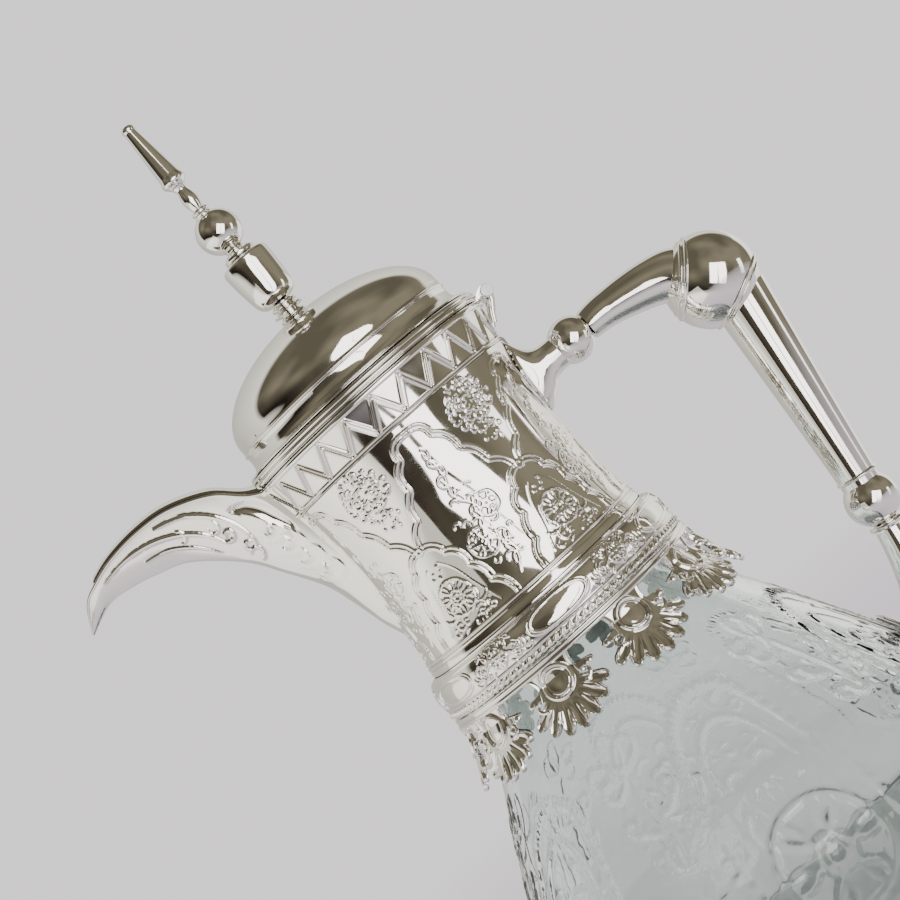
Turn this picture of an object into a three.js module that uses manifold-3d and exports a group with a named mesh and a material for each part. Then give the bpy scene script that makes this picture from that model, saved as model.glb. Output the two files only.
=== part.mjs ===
// Dallah coffee pot: pressed glass body, plated collar with a crescent spout, hinged domed lid
// with a tall finial, and a cast handle with ball joints.
// Millimetres, +Z up. The origin is the centre of the flat glass foot; the spout points to -X.
import * as THREE from "three";
import { mergeVertices } from "three/addons/utils/BufferGeometryUtils.js";
import Module from "manifold-3d";

const wasm = await Module();
wasm.setup();

// ---------------------------------------------------------------- driving dimensions

const gap = 0.3; // between pieces that touch
const roundSides = 40; // facets round the large outer pieces
const innerSides = 28; // facets round the hidden rings
const smallSides = 14; // facets round the small turned pieces

// glass body
const footRadius = 64;
const heelRadius = 70;
const bellyRadius = 79;
const bellyZ = 33;
const shoulderRadius = 45;
const shoulderZ = 101.6;
const glassWall = 4.2;
const glassBase = 9;
const neckRadius = 31.5;
const neckInnerRadius = 27.5;
const lipZ = 157;

// collar
const collarWall = 1.8;
const sleeveBottomZ = 124.9;
const grooveZ = 137.7;
const waistZ = 160;
const rimZ = 208.9;
const sleeveRadius = 38.9;
const waistRadius = 36.5;
const rimRadius = 41.4;
const rimLip = 1.5; // how far the lip bead stands out
const rimLipHeight = 1.8;

// belt and lace skirt
const beltBulge = 3.8;
const beltBottomZ = 124.4;
const skirtBandHeight = 2.8;
const skirtThickness = 1.5;
const skirtBossDrop = 7.4; // belt bottom down to the centre of a palmette's boss
const palmetteCount = 10;
const palmetteReach = 14.2; // boss centre to petal tips
const bossRadius = 4.2;

// neck seal and liner
const sealThickness = 1;
const linerLedge = 2;
const linerBottomZ = 128.4;
const linerFootHeight = 2.6;

// spout: distances are from the pot's axis
const spoutTipX = 103.5;
const spoutRootX = 30;
const spoutWall = 1.6;
const coverEndX = spoutTipX - 10.4;
const coverRootThickness = 2.4;
const coverEndThickness = 1;

// lid
const flangeOverhang = 1.3;
const flangeThickness = 3.4;
const flangeOpening = 7.4; // flange edge in to the hole that takes the liner
const domeRadius = 37.3;
const domeWall = 1.2;
const domeBandHeight = 9.1;
const domeHeight = 18.5;
const linerSleeveWall = 2.4;
const plugDepth = 7; // lid liner's reach below the flange
const linerFloor = 2;

// finial: heights of the turned pieces, bottom to top
const studRadius = 1.4;
const finialRingsHeight = 5.7;
const barrelHeight = 16.8;
const barrelRadius = 7.7;
const stepHeight = 2.4;
const finialBallRadius = 6.9;
const finialCollarHeight = 1.4;
const spindleHeight = 8.4;
const coneHeight = 22.9;

// hinge
const knuckleRadius = 2;
const pinRadius = 0.9;
const pinClearance = 0.08;
const knuckleLength = 10;
const bracketKnuckleLength = 5;
const hingeReach = 0.4; // gap from the flange's edge to the knuckle

// handle: [x, z] places in the pot's middle plane
const upperBall = { x: rimRadius + 13.3, z: rimZ - 26, radius: 7 };
const elbow = { x: rimRadius + 54.9, z: rimZ - 39.8, radius: 14.3 };
const lowerBall = { x: elbow.x - 7.9, z: shoulderZ - 10.4, radius: 8.1 };
const elbowCut = 7.2; // elbow centre to each flat that carries a ring
const elbowRingRadius = 12.2;
const elbowRingWidth = 2.8;
const elbowUpperAxis = new THREE.Vector3(-0.736, 0, 0.677).normalize();
const elbowLowerAxis = new THREE.Vector3(0.408, 0, -0.913).normalize();
const upperArmRadii = [4.6, 5.3, 6.65, 7.8, 8.8];
const longArmRadii = [9, 5.8];
const lowerArmRadii = [4.5, 5.4, 6.4, 6.8];
const lowerRingRadius = 5.6;
const lowerRingWidth = 1.6;
const handleFootZ = 52;
const shieldThickness = 1.8;
const shieldHalfWidth = 9.5;
const shieldHalfHeight = 13;
const bondThickness = 0.6;
const handleStudRadius = 1.7;
const handleStudClearance = 0.3;
const handleStudReach = 9; // from the upper ball's centre into the shield's neck
const screwReach = 5.6; // from the collar into the shield's neck
const screwRadius = 1.9;
const screwHeadRadius = 3.6;
const washerThickness = 0.8;

// ---------------------------------------------------------------- materials

function metal(colour, roughness) {
  return new THREE.MeshStandardMaterial({ color: colour, metalness: 1, roughness });
}

const plated = metal(0xe4e2df, 0.08);
const steel = metal(0xb9bcc0, 0.3);
const glass = new THREE.MeshStandardMaterial({
  color: 0xdfe8e4, roughness: 0.05, metalness: 0, transparent: true, opacity: 0.35,
});
const silicone = new THREE.MeshStandardMaterial({ color: 0xe9ebea, roughness: 0.6, metalness: 0 });
const liner = new THREE.MeshStandardMaterial({ color: 0xf2f1ec, roughness: 0.45, metalness: 0 });

// ---------------------------------------------------------------- solids

/** A manifold-3d solid from a closed three.js geometry, with its faces turned outwards. */
function solid(geometry) {
  const bare = geometry.index ? geometry.clone() : mergeVertices(geometry.clone());
  bare.deleteAttribute("normal");
  bare.deleteAttribute("uv");
  const merged = mergeVertices(bare, 1e-4);
  const index = merged.index.array;
  const triangles = [];
  for (let i = 0; i < index.length; i += 3) {
    const [a, b, c] = [index[i], index[i + 1], index[i + 2]];
    if (a !== b && b !== c && c !== a) triangles.push(a, b, c);
  }
  const build = (triVerts) => new wasm.Manifold(new wasm.Mesh({
    numProp: 3,
    vertProperties: new Float32Array(merged.attributes.position.array),
    triVerts: new Uint32Array(triVerts),
  }));
  const made = build(triangles);
  return made.volume() > 0 ? made : build(triangles.toReversed());
}

/** The three.js geometry of a manifold-3d solid. */
function geometryOf(body) {
  const mesh = body.getMesh();
  const geometry = new THREE.BufferGeometry();
  const stride = mesh.numProp;
  const positions = new Float32Array((mesh.vertProperties.length / stride) * 3);
  for (let i = 0; i < positions.length / 3; i += 1) {
    positions.set(mesh.vertProperties.subarray(i * stride, i * stride + 3), i * 3);
  }
  geometry.setAttribute("position", new THREE.BufferAttribute(positions, 3));
  geometry.setIndex(new THREE.BufferAttribute(new Uint32Array(mesh.triVerts), 1));
  geometry.computeVertexNormals();
  return geometry;
}

/** A solid turned about +Z from [radius, z] points that close on the axis or on themselves. */
function turned(points, sides = smallSides) {
  const profile = points.map(([r, z]) => new THREE.Vector2(r, z));
  if (profile[0].x > 0) profile.push(profile[0].clone());
  return solid(new THREE.LatheGeometry(profile, sides).rotateX(Math.PI / 2));
}

/** The same, turned about an axis that starts at a place and runs along a direction. */
function turnedAlong(points, place, direction, sides = smallSides) {
  const profile = points.map(([r, z]) => new THREE.Vector2(r, z));
  if (profile[0].x > 0) profile.push(profile[0].clone());
  const geometry = new THREE.LatheGeometry(profile, sides);
  const turn = new THREE.Quaternion().setFromUnitVectors(new THREE.Vector3(0, 1, 0), direction);
  geometry.applyQuaternion(turn).translate(place.x, place.y, place.z);
  return solid(geometry);
}

/** A round bar from one distance to another along an axis. */
function bar(radius, from, to, place, direction) {
  return turnedAlong([[0, from], [radius, from], [radius, to], [0, to]], place, direction);
}

function box(low, high) {
  const size = high.map((value, axis) => value - low[axis]);
  const middle = high.map((value, axis) => (value + low[axis]) / 2);
  return solid(new THREE.BoxGeometry(...size).translate(...middle));
}

function ball(centre, radius) {
  return solid(new THREE.SphereGeometry(radius, 16, 10).translate(centre.x, 0, centre.z));
}

/** Everything on the far side of a plane, as a block. */
function beyond(place, direction) {
  return bar(150, 0, 300, place, direction);
}

/** A closed skin over rings of equal point count, capped at both ends. */
function loft(rings) {
  const count = rings[0].length;
  const positions = rings.flat().flatMap((point) => [point.x, point.y, point.z]);
  const index = [];
  for (let row = 0; row + 1 < rings.length; row += 1) {
    for (let i = 0; i < count; i += 1) {
      const next = (i + 1) % count;
      const [a, b] = [row * count + i, row * count + next];
      index.push(a, b, a + count, b, b + count, a + count);
    }
  }
  for (const [row, turn] of [[0, 1], [rings.length - 1, -1]]) {
    const flat = THREE.ShapeUtils.triangulateShape(capOutline(rings[row]), []);
    for (const [a, b, c] of flat) {
      const base = row * count;
      index.push(...(turn > 0 ? [base + a, base + c, base + b] : [base + a, base + b, base + c]));
    }
  }
  const geometry = new THREE.BufferGeometry();
  geometry.setAttribute("position", new THREE.Float32BufferAttribute(positions, 3));
  geometry.setIndex(index);
  return solid(geometry);
}

/** A ring's points laid out in its own plane, counter-clockwise. */
function capOutline(ring) {
  const normal = new THREE.Vector3();
  ring.forEach((point, i) => normal.add(point.clone().cross(ring[(i + 1) % ring.length])));
  normal.normalize();
  const right = ring[1].clone().sub(ring[0]).normalize();
  const up = normal.clone().cross(right);
  return ring.map((point) => new THREE.Vector2(point.dot(right), point.dot(up)));
}

/** A round arm through points of the XZ plane, with a radius at each. */
function arm(places, radii, sides = 14) {
  const path = new THREE.CatmullRomCurve3(places.map(([x, z]) => new THREE.Vector3(x, 0, z)));
  const steps = 2 * (places.length - 1);
  const rings = [];
  for (let step = 0; step <= steps; step += 1) {
    const t = step / steps;
    const centre = path.getPoint(t);
    const along = path.getTangent(t);
    const side = new THREE.Vector3(along.z, 0, -along.x);
    const reach = t * (radii.length - 1);
    const low = Math.min(Math.floor(reach), radii.length - 2);
    const radius = THREE.MathUtils.lerp(radii[low], radii[low + 1], reach - low);
    rings.push(Array.from({ length: sides }, (_, i) => {
      const turn = (2 * Math.PI * i) / sides;
      return centre.clone().addScaledVector(side, radius * Math.cos(turn))
        .add(new THREE.Vector3(0, radius * Math.sin(turn), 0));
    }));
  }
  return loft(rings);
}

/** Points along a smooth curve through the given pairs. */
function curve(pairs, count) {
  const spline = new THREE.SplineCurve(pairs.map(([a, b]) => new THREE.Vector2(a, b)));
  return spline.getPoints(count).map((point) => [point.x, point.y]);
}

/** The second value of a smooth curve at a first value that rises along it. */
function valueAt(pairs, first) {
  const points = curve(pairs, 80);
  const after = points.findIndex(([a]) => a >= first);
  if (after <= 0) return points[after === 0 ? 0 : points.length - 1][1];
  const [[a0, b0], [a1, b1]] = [points[after - 1], points[after]];
  return THREE.MathUtils.mapLinear(first, a0, a1, b0, b1);
}

/** A [radius, z] outline moved outwards by a distance, square to itself. */
function offset(points, distance) {
  return points.map(([r, z], i) => {
    const [r0, z0] = points[Math.max(i - 1, 0)];
    const [r1, z1] = points[Math.min(i + 1, points.length - 1)];
    const length = Math.hypot(r1 - r0, z1 - z0);
    return [r + (distance * (z1 - z0)) / length, z - (distance * (r1 - r0)) / length];
  });
}

/** A skin that follows an outline between two distances from it. */
function skinOver(outline, inner, outer) {
  return turned([...offset(outline, inner), ...offset(outline, outer).toReversed()], roundSides);
}

// ---------------------------------------------------------------- outlines

const glassOutline = curve([
  [footRadius + 2, 1.5], [heelRadius, 8], [bellyRadius - 2.2, 19], [bellyRadius, bellyZ],
  [bellyRadius - 2.6, bellyZ + 12], [shoulderRadius + 24.8, shoulderZ - 44],
  [shoulderRadius + 10, shoulderZ - 17.2], [shoulderRadius, shoulderZ],
  [neckRadius + 6.5, shoulderZ + 12], [neckRadius + 1.9, shoulderZ + 19.2],
  [neckRadius, shoulderZ + 24],
], 14);

const collarOutline = curve([
  [sleeveRadius + 0.4, grooveZ], [waistRadius + 1, grooveZ + 8], [waistRadius, waistZ],
  [waistRadius + 0.3, waistZ + 16], [rimRadius - 1.8, rimZ - 11.9],
  [rimRadius, rimZ - rimLipHeight],
], 12);

const sleeveInnerRadius = sleeveRadius - collarWall;
const rimInnerRadius = rimRadius - collarWall;

/** Spout points whose distances beyond the collar stretch with its rim and tip. */
function alongSpout(pairs) {
  return pairs.map(([x, y]) => [
    x < 41.5 ? x : THREE.MathUtils.mapLinear(x, 41.4, 103.5, rimRadius, spoutTipX), y,
  ]);
}

// spout lines, as [distance from the axis, height]
const spoutTopLine = alongSpout([
  [spoutRootX, rimZ - 1], [42.4, rimZ + 4], [51.2, rimZ + 11.5], [63.1, rimZ + 16.4],
  [74, rimZ + 17.5], [84.8, rimZ + 16.5], [93.1, rimZ + 14], [98.6, rimZ + 11.3],
  [103.5, rimZ + 4.1],
]);
const spoutKeelLine = alongSpout([
  [spoutRootX, rimZ - 75], [waistRadius + 1.3, rimZ - 55.6], [39.9, rimZ - 49.4],
  [42.1, rimZ - 40.3], [44.8, rimZ - 31.7], [50.9, rimZ - 21.2], [57.5, rimZ - 11.2],
  [69, rimZ - 0.8], [78.3, rimZ + 2.9], [85.8, rimZ + 4.9], [94, rimZ + 5.7],
  [103.5, rimZ + 2],
]);
const spoutWidthLine = alongSpout([
  [spoutRootX, 15.5], [36, 15], [45, 13.4], [55, 11.6], [65, 9.9], [75, 8.2], [85, 6.5],
  [93, 4.9], [99, 3], [103.5, 0.9],
]);

function coverThicknessAt(x) {
  const along = THREE.MathUtils.clamp((x - rimRadius) / (coverEndX - rimRadius), 0, 1);
  return THREE.MathUtils.lerp(coverRootThickness, coverEndThickness, along);
}

function castingTopAt(x) {
  return valueAt(spoutTopLine, x) - coverThicknessAt(x) - gap;
}

// ---------------------------------------------------------------- pot body

function makeGlassBody() {
  const inner = offset(glassOutline.slice(6), -glassWall).filter(([r]) => r > neckInnerRadius);
  return turned([
    [0, 0], [footRadius, 0], ...glassOutline, [neckRadius, lipZ - 0.8], [neckRadius - 0.8, lipZ],
    [neckInnerRadius + 0.8, lipZ], [neckInnerRadius, lipZ - 0.8],
    [neckInnerRadius, shoulderZ + 20], ...inner.toReversed(),
    [heelRadius - 12, glassBase], [0, glassBase],
  ], roundSides);
}

function makeNeckSeal() {
  const bottom = lipZ + gap;
  const [low, high] = [neckInnerRadius + 0.3, neckRadius - 0.3];
  return turned([[low, bottom], [high, bottom], [high, bottom + sealThickness],
    [low, bottom + sealThickness]], innerSides);
}

const linerLedgeZ = lipZ + sealThickness + 2 * gap;
const linerTopZ = linerLedgeZ + linerLedge;

function makeNeckLiner() {
  const bore = neckRadius + gap;
  const outer = waistRadius - collarWall - gap;
  const foot = sleeveInnerRadius - gap;
  const footTop = linerBottomZ + linerFootHeight;
  return turned([
    [bore, linerBottomZ], [foot, linerBottomZ], [foot, footTop], [outer, footTop + 2],
    [outer, linerTopZ], [neckInnerRadius + 0.5, linerTopZ], [neckInnerRadius + 0.5, linerLedgeZ],
    [bore, linerLedgeZ],
  ], innerSides);
}

/** A spout section at a distance from the axis: a rounded V from keel to top. */
function spoutSection(x, halfWidth, keel, top) {
  const steps = 4;
  const half = Array.from({ length: steps + 1 }, (_, i) => {
    const rise = i / steps;
    return [halfWidth * Math.sqrt(rise) * (1.12 - 0.12 * rise), keel + (top - keel) * rise];
  });
  const left = half.slice(1).map(([y, z]) => new THREE.Vector3(-x, -y, z));
  const right = half.slice(1).map(([y, z]) => new THREE.Vector3(-x, y, z));
  return [new THREE.Vector3(-x, 0, half[0][1]), ...right, ...left.toReversed()];
}

const spoutStations = alongSpout([
  [spoutRootX], [34], [37], [39.5], [42], [45], [49], [54], [59.5], [66], [73], [80], [87], [93.1],
  [98], [101], [103.5],
]).map(([x]) => x);

function makeSpoutOuter() {
  return loft(spoutStations.map((x) => spoutSection(
    x, valueAt(spoutWidthLine, x), valueAt(spoutKeelLine, x), castingTopAt(x),
  )));
}

function makeSpoutChannel() {
  const reach = spoutTipX - 2.2;
  const roof = 6;
  return loft(spoutStations.filter((x) => x < reach).map((x) => {
    const width = Math.max(valueAt(spoutWidthLine, x) - spoutWall, 0.7);
    const keel = valueAt(spoutKeelLine, Math.min(x + spoutWall, spoutTipX)) + spoutWall;
    return spoutSection(x, width, keel, Math.max(castingTopAt(x), keel) + roof);
  }));
}

const screwAxis = new THREE.Vector3(1, 0, 0);
const collarRadiusAt = (z) => valueAt(collarOutline.map(([r, height]) => [height, r]), z);
const mountRadius = collarRadiusAt(upperBall.z);
const washerRadius = screwHeadRadius + 0.8;
const screwSeat = new THREE.Vector3(collarRadiusAt(upperBall.z - washerRadius) - 0.6, 0, upperBall.z);

function makeCollarShell() {
  const outer = turned([
    [0, sleeveBottomZ], [sleeveRadius, sleeveBottomZ], [sleeveRadius, grooveZ - 0.5],
    ...collarOutline, [rimRadius + rimLip, rimZ - rimLipHeight + 0.5],
    [rimRadius + rimLip, rimZ - 0.5], [rimRadius + rimLip - 0.5, rimZ], [0, rimZ],
  ], roundSides);
  const cavity = turned([
    [0, sleeveBottomZ - 1], [sleeveInnerRadius, sleeveBottomZ - 1],
    [sleeveInnerRadius, grooveZ - 3], ...offset(collarOutline, -collarWall),
    [rimInnerRadius, rimZ + 1], [0, rimZ + 1],
  ], roundSides);
  const screwHole = bar(screwRadius + handleStudClearance, -8, 12, screwSeat, screwAxis);
  return outer.add(makeSpoutOuter()).subtract(cavity).subtract(makeSpoutChannel())
    .subtract(screwHole);
}

function makeCollarBelt() {
  const inner = sleeveRadius + gap;
  const top = grooveZ - 0.8;
  const bulge = sleeveRadius + beltBulge;
  return turned([
    [inner, beltBottomZ], [bulge - 0.4, beltBottomZ], [bulge + 0.3, beltBottomZ + 0.8],
    [bulge - 0.2, beltBottomZ + 1.8], [bulge + 0.3, beltBottomZ + 4.6],
    [bulge + 0.2, beltBottomZ + 7.6], [bulge - 0.9, top - 1.8], [bulge - 2.2, top - 0.4],
    [inner, top],
  ], roundSides);
}

// ---------------------------------------------------------------- lace skirt

const skirtTopZ = beltBottomZ - gap;
const bossZ = beltBottomZ - skirtBossDrop;

/** The skirt's inner radius at a height: straight down, then flared clear of the glass. */
function skirtRadiusAt(z) {
  const straight = sleeveRadius + 2.9;
  return straight + Math.max(0, bossZ + 1 - z) * 0.47;
}

/** One palmette's outline about its boss: a fan of seven petals below two side curls. */
function palmetteShape() {
  const right = [[7.2, 6], [5.6, 3], [7.8, -0.6], [10.2, 0.6], [11.6, -1.2], [11, -3.4]];
  const petals = 7;
  const petalTurn = 19;
  const fan = [];
  for (let petal = 0; petal < petals; petal += 1) {
    const middle = (petal - (petals - 1) / 2) * petalTurn;
    for (const [turn, shy] of [[-5, 0], [5, 0], [petalTurn / 2, 2.2]]) {
      if (petal === petals - 1 && turn > 5) continue;
      const angle = THREE.MathUtils.degToRad(middle + turn);
      fan.push([Math.sin(angle) * (palmetteReach - shy), -Math.cos(angle) * (palmetteReach - shy)]);
    }
  }
  const left = right.map(([s, z]) => [-s, z]);
  const outline = [...left, ...fan, ...right.toReversed()];
  return new THREE.Shape(outline.map(([s, z]) => new THREE.Vector2(s, z)));
}

/** The palmette bent round the pot at an angle, with its ringed boss. */
function makePalmette(angle) {
  const bend = (geometry, proud) => {
    const place = geometry.attributes.position;
    const reference = skirtRadiusAt(bossZ);
    for (let i = 0; i < place.count; i += 1) {
      const z = bossZ + place.getY(i);
      const radius = skirtRadiusAt(z) + proud + place.getZ(i);
      const turn = angle + place.getX(i) / reference;
      place.setXYZ(i, radius * Math.cos(turn), radius * Math.sin(turn), z);
    }
    return solid(geometry);
  };
  const plate = new THREE.ExtrudeGeometry(palmetteShape(), {
    depth: skirtThickness, bevelEnabled: false, steps: 1,
  });
  const boss = new THREE.CylinderGeometry(bossRadius - 0.6, bossRadius, 1.6, 10);
  boss.rotateX(Math.PI / 2);
  return bend(plate, 0).add(bend(boss, skirtThickness));
}

function makePalmetteSkirt() {
  const inner = skirtRadiusAt(skirtTopZ) - 1.6;
  const outer = skirtRadiusAt(skirtTopZ) + skirtThickness;
  const bandBottom = skirtTopZ - skirtBandHeight;
  let skirt = turned([[inner, bandBottom], [outer, bandBottom], [outer, skirtTopZ],
    [inner, skirtTopZ]], roundSides);
  for (let i = 0; i < palmetteCount; i += 1) {
    skirt = skirt.add(makePalmette((2 * Math.PI * i) / palmetteCount));
  }
  return skirt;
}

// ---------------------------------------------------------------- hinge

const flangeRadius = rimRadius + flangeOverhang;
const flangeBottomZ = rimZ + gap;
const flangeTopZ = flangeBottomZ + flangeThickness;
const hingeX = Math.max(flangeRadius, rimRadius + rimLip) + hingeReach + knuckleRadius;
const hingeZ = flangeBottomZ;
const hingeAxis = new THREE.Vector3(0, 1, 0);
const hingePlace = new THREE.Vector3(hingeX, 0, hingeZ);
const bracketEndY = knuckleLength / 2 + gap + bracketKnuckleLength;

function knuckle(from, to) {
  return bar(knuckleRadius, from, to, hingePlace, hingeAxis);
}

function makeHingeBracket() {
  const start = knuckleLength / 2 + gap;
  const footBottom = rimZ - 7.5;
  const foot = skinOver(collarOutline, gap, gap + 1.4);
  let bracket = foot.intersect(box([0, -bracketEndY, footBottom], [rimRadius + 10, bracketEndY,
    rimZ - rimLipHeight - 0.6]));
  for (const side of [-1, 1]) {
    const [near, far] = [side * start, side * bracketEndY];
    const [low, high] = [Math.min(near, far), Math.max(near, far)];
    const web = box([rimRadius - 1.4, low, footBottom], [hingeX + 0.8, high, rimZ - rimLipHeight - 1.2]);
    const post = box([rimRadius + rimLip + 0.4, low, rimZ - 8], [hingeX + 1.2, high, hingeZ]);
    const slope = beyond(new THREE.Vector3(rimRadius + 3, 0, footBottom + 1),
      new THREE.Vector3(0.62, 0, -0.78).normalize());
    bracket = bracket.add(web.add(post).subtract(slope)).add(knuckle(low, high));
  }
  const collar = skinOver(collarOutline, -6, gap);
  const bore = bar(pinRadius + gap, -40, 40, hingePlace, hingeAxis);
  return bracket.subtract(collar).subtract(bore);
}

function makeHingePin() {
  const end = bracketEndY + 0.2;
  const head = pinRadius + 0.9;
  return turnedAlong([
    [0, -end - 1], [head, -end - 1], [head, -end], [pinRadius, -end], [pinRadius, end],
    [head, end], [head, end + 1], [0, end + 1],
  ], hingePlace, hingeAxis);
}

// ---------------------------------------------------------------- lid

/** The plate that closes the spout's channel, as wide as the spout. */
function makeSpoutCover() {
  const root = rimRadius - 2;
  const stations = [root, ...spoutStations.filter((x) => x > root + 1 && x <= coverEndX)];
  return loft(stations.map((x) => {
    const overLip = x < rimRadius + rimLip + 1.5;
    const bottom = Math.max(castingTopAt(x) + gap, overLip ? flangeBottomZ : 0);
    const top = Math.max(valueAt(spoutTopLine, x), bottom + coverThicknessAt(x));
    const width = valueAt(spoutWidthLine, x) + 0.2;
    return [[-width, bottom], [width, bottom], [width, top - 0.3], [width * 0.5, top],
      [-width * 0.5, top], [-width, top - 0.3]].map(([y, z]) => new THREE.Vector3(-x, y, z));
  }));
}

function makeLidFlange() {
  const opening = flangeRadius - flangeOpening;
  const ring = turned([
    [opening, flangeBottomZ], [flangeRadius - 0.9, flangeBottomZ],
    [flangeRadius, flangeBottomZ + 1], [flangeRadius, flangeTopZ - 1],
    [flangeRadius - 0.9, flangeTopZ], [opening, flangeTopZ],
  ], roundSides);
  const web = box([flangeRadius - 3, -knuckleLength / 2, flangeBottomZ],
    [hingeX, knuckleLength / 2, hingeZ + knuckleRadius]);
  const leaf = web.add(knuckle(-knuckleLength / 2, knuckleLength / 2));
  const bore = bar(pinRadius + pinClearance, -knuckleLength, knuckleLength, hingePlace, hingeAxis);
  const hole = bar(opening, -10, 10, new THREE.Vector3(0, 0, flangeTopZ), new THREE.Vector3(0, 0, 1));
  return ring.add(makeSpoutCover().subtract(hole)).add(leaf).subtract(bore);
}

const domeBottomZ = flangeTopZ + gap;
const domeSpringZ = domeBottomZ + domeBandHeight;
const domeTopZ = domeSpringZ + domeHeight;
const studBore = studRadius + gap;

function makeLidDome() {
  const steps = 6;
  const quarter = Array.from({ length: steps }, (_, i) => (Math.PI / 2) * (i / steps));
  const crown = (radius, height) => quarter.map((turn) => [
    radius * Math.cos(turn), domeSpringZ + height * Math.sin(turn),
  ]);
  const inner = domeRadius - domeWall;
  return turned([
    [flangeRadius - flangeOpening + 1, domeBottomZ], [flangeRadius - 1.6, domeBottomZ],
    [domeRadius + 0.7, domeBottomZ + 0.9], [domeRadius, domeBottomZ + 2.5],
    ...crown(domeRadius, domeHeight), [finialBallRadius - 3, domeTopZ], [studBore, domeTopZ],
    [studBore, domeTopZ - domeWall - 1], ...crown(inner, domeHeight - domeWall).toReversed(),
    [inner, domeBottomZ + 2.5], [flangeRadius - flangeOpening + 1, domeBottomZ + 1.5],
  ], roundSides);
}

const plugRadius = rimInnerRadius - 1.6;
const plugBottomZ = flangeBottomZ - plugDepth;
const lidSleeveRadius = flangeRadius - flangeOpening - gap;

function makeLidLiner() {
  const shoulder = flangeBottomZ - gap;
  return turned([
    [studBore, plugBottomZ], [plugRadius - 0.2, plugBottomZ],
    [plugRadius - 0.2, plugBottomZ + linerFloor], [lidSleeveRadius, plugBottomZ + linerFloor],
    [lidSleeveRadius, shoulder - 2], [plugRadius, shoulder - 2], [plugRadius, shoulder],
    [lidSleeveRadius, shoulder], [lidSleeveRadius, flangeTopZ - 0.6],
    [lidSleeveRadius - linerSleeveWall, flangeTopZ - 0.6],
    [lidSleeveRadius - linerSleeveWall, plugBottomZ + linerFloor],
    [studBore, plugBottomZ + linerFloor],
  ], innerSides);
}

function makeLidSeal() {
  const [bottom, top] = [plugBottomZ + linerFloor + gap, flangeBottomZ - 2 - 2 * gap];
  const [bore, edge] = [lidSleeveRadius + gap, rimInnerRadius - 1];
  return turned([[bore, bottom], [edge - 0.5, bottom], [edge, (bottom + top) / 2],
    [edge - 0.5, top], [bore, top]], innerSides);
}

// ---------------------------------------------------------------- finial

const ringsZ = domeTopZ + gap;
const barrelZ = ringsZ + finialRingsHeight + gap;
const stepZ = barrelZ + barrelHeight + gap;
const finialBallZ = stepZ + stepHeight + gap;
const finialCollarZ = finialBallZ + 2 * finialBallRadius + 0.6;
const spindleZ = finialCollarZ + finialCollarHeight + gap;
const coneZ = spindleZ + spindleHeight + gap;
const studTopZ = finialBallZ + finialBallRadius + 3;
const nutHeight = 3.6;

function makeFinialRings() {
  return turned([
    [studBore, ringsZ], [4, ringsZ], [4.4, ringsZ + 0.8], [3.2, ringsZ + 1.8], [4.9, ringsZ + 2.7],
    [3.2, ringsZ + 3.6], [4.2, ringsZ + 4.6], [3.6, ringsZ + finialRingsHeight],
    [studBore, ringsZ + finialRingsHeight],
  ]);
}

function makeFinialBarrel() {
  const top = barrelZ + barrelHeight;
  return turned([
    [studBore, barrelZ], [3.2, barrelZ], [barrelRadius - 2.2, barrelZ + 1],
    [barrelRadius - 1, barrelZ + 3], [barrelRadius - 0.6, barrelZ + 6],
    [barrelRadius - 0.1, barrelZ + 11], [barrelRadius, top - 1.2], [barrelRadius - 0.5, top - 0.4],
    [barrelRadius - 1.5, top], [studBore, top],
  ]);
}

function makeFinialStep() {
  const top = stepZ + stepHeight;
  return turned([[studBore, stepZ], [4.6, stepZ], [5, stepZ + 0.6], [5, top - 0.8], [4.2, top],
    [studBore, top]]);
}

function makeFinialBall() {
  const middle = finialBallZ + finialBallRadius + 0.3;
  const steps = 7;
  const waist = 2.8; // radius of the flats at the ball's poles
  const reach = Math.asin(waist / finialBallRadius);
  const arc = Array.from({ length: steps + 1 }, (_, i) => {
    const turn = reach + ((Math.PI - 2 * reach) * i) / steps;
    return [finialBallRadius * Math.sin(turn), middle - finialBallRadius * Math.cos(turn)];
  });
  return turned([
    [studBore, finialBallZ], [waist, finialBallZ], ...arc, [waist, finialCollarZ - gap],
    [0, finialCollarZ - gap], [0, studTopZ + gap], [studBore, studTopZ + gap],
  ]);
}

function makeFinialCollar() {
  const top = finialCollarZ + finialCollarHeight;
  return turned([[0, finialCollarZ], [2.4, finialCollarZ], [3, (finialCollarZ + top) / 2],
    [2.4, top], [0, top]]);
}

function makeFinialSpindle() {
  const top = spindleZ + spindleHeight;
  return turned([[0, spindleZ], [1.7, spindleZ], [2.4, spindleZ + 3], [2.3, spindleZ + 4.6],
    [1.8, top - 1.2], [2.2, top], [0, top]]);
}

function makeFinialCone() {
  const top = coneZ + coneHeight;
  return turned([[0, coneZ], [2.6, coneZ], [2.8, coneZ + 0.7], [3.7, coneZ + 1.4],
    [3.9, coneZ + 2.2], [1.9, top - 1.6], [2, top - 0.8], [1.4, top], [0, top]]);
}

function makeFinialStud() {
  const bottom = plugBottomZ - nutHeight - 0.4;
  return turned([[0, bottom], [studRadius, bottom], [studRadius, studTopZ], [0, studTopZ]]);
}

function makeFinialNut() {
  const top = plugBottomZ - gap;
  return turned([[studBore, top - nutHeight + 0.3], [3.6, top - nutHeight + 0.3], [4.2, top - 0.6],
    [4.2, top], [studBore, top]], 6);
}

// ---------------------------------------------------------------- handle

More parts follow.
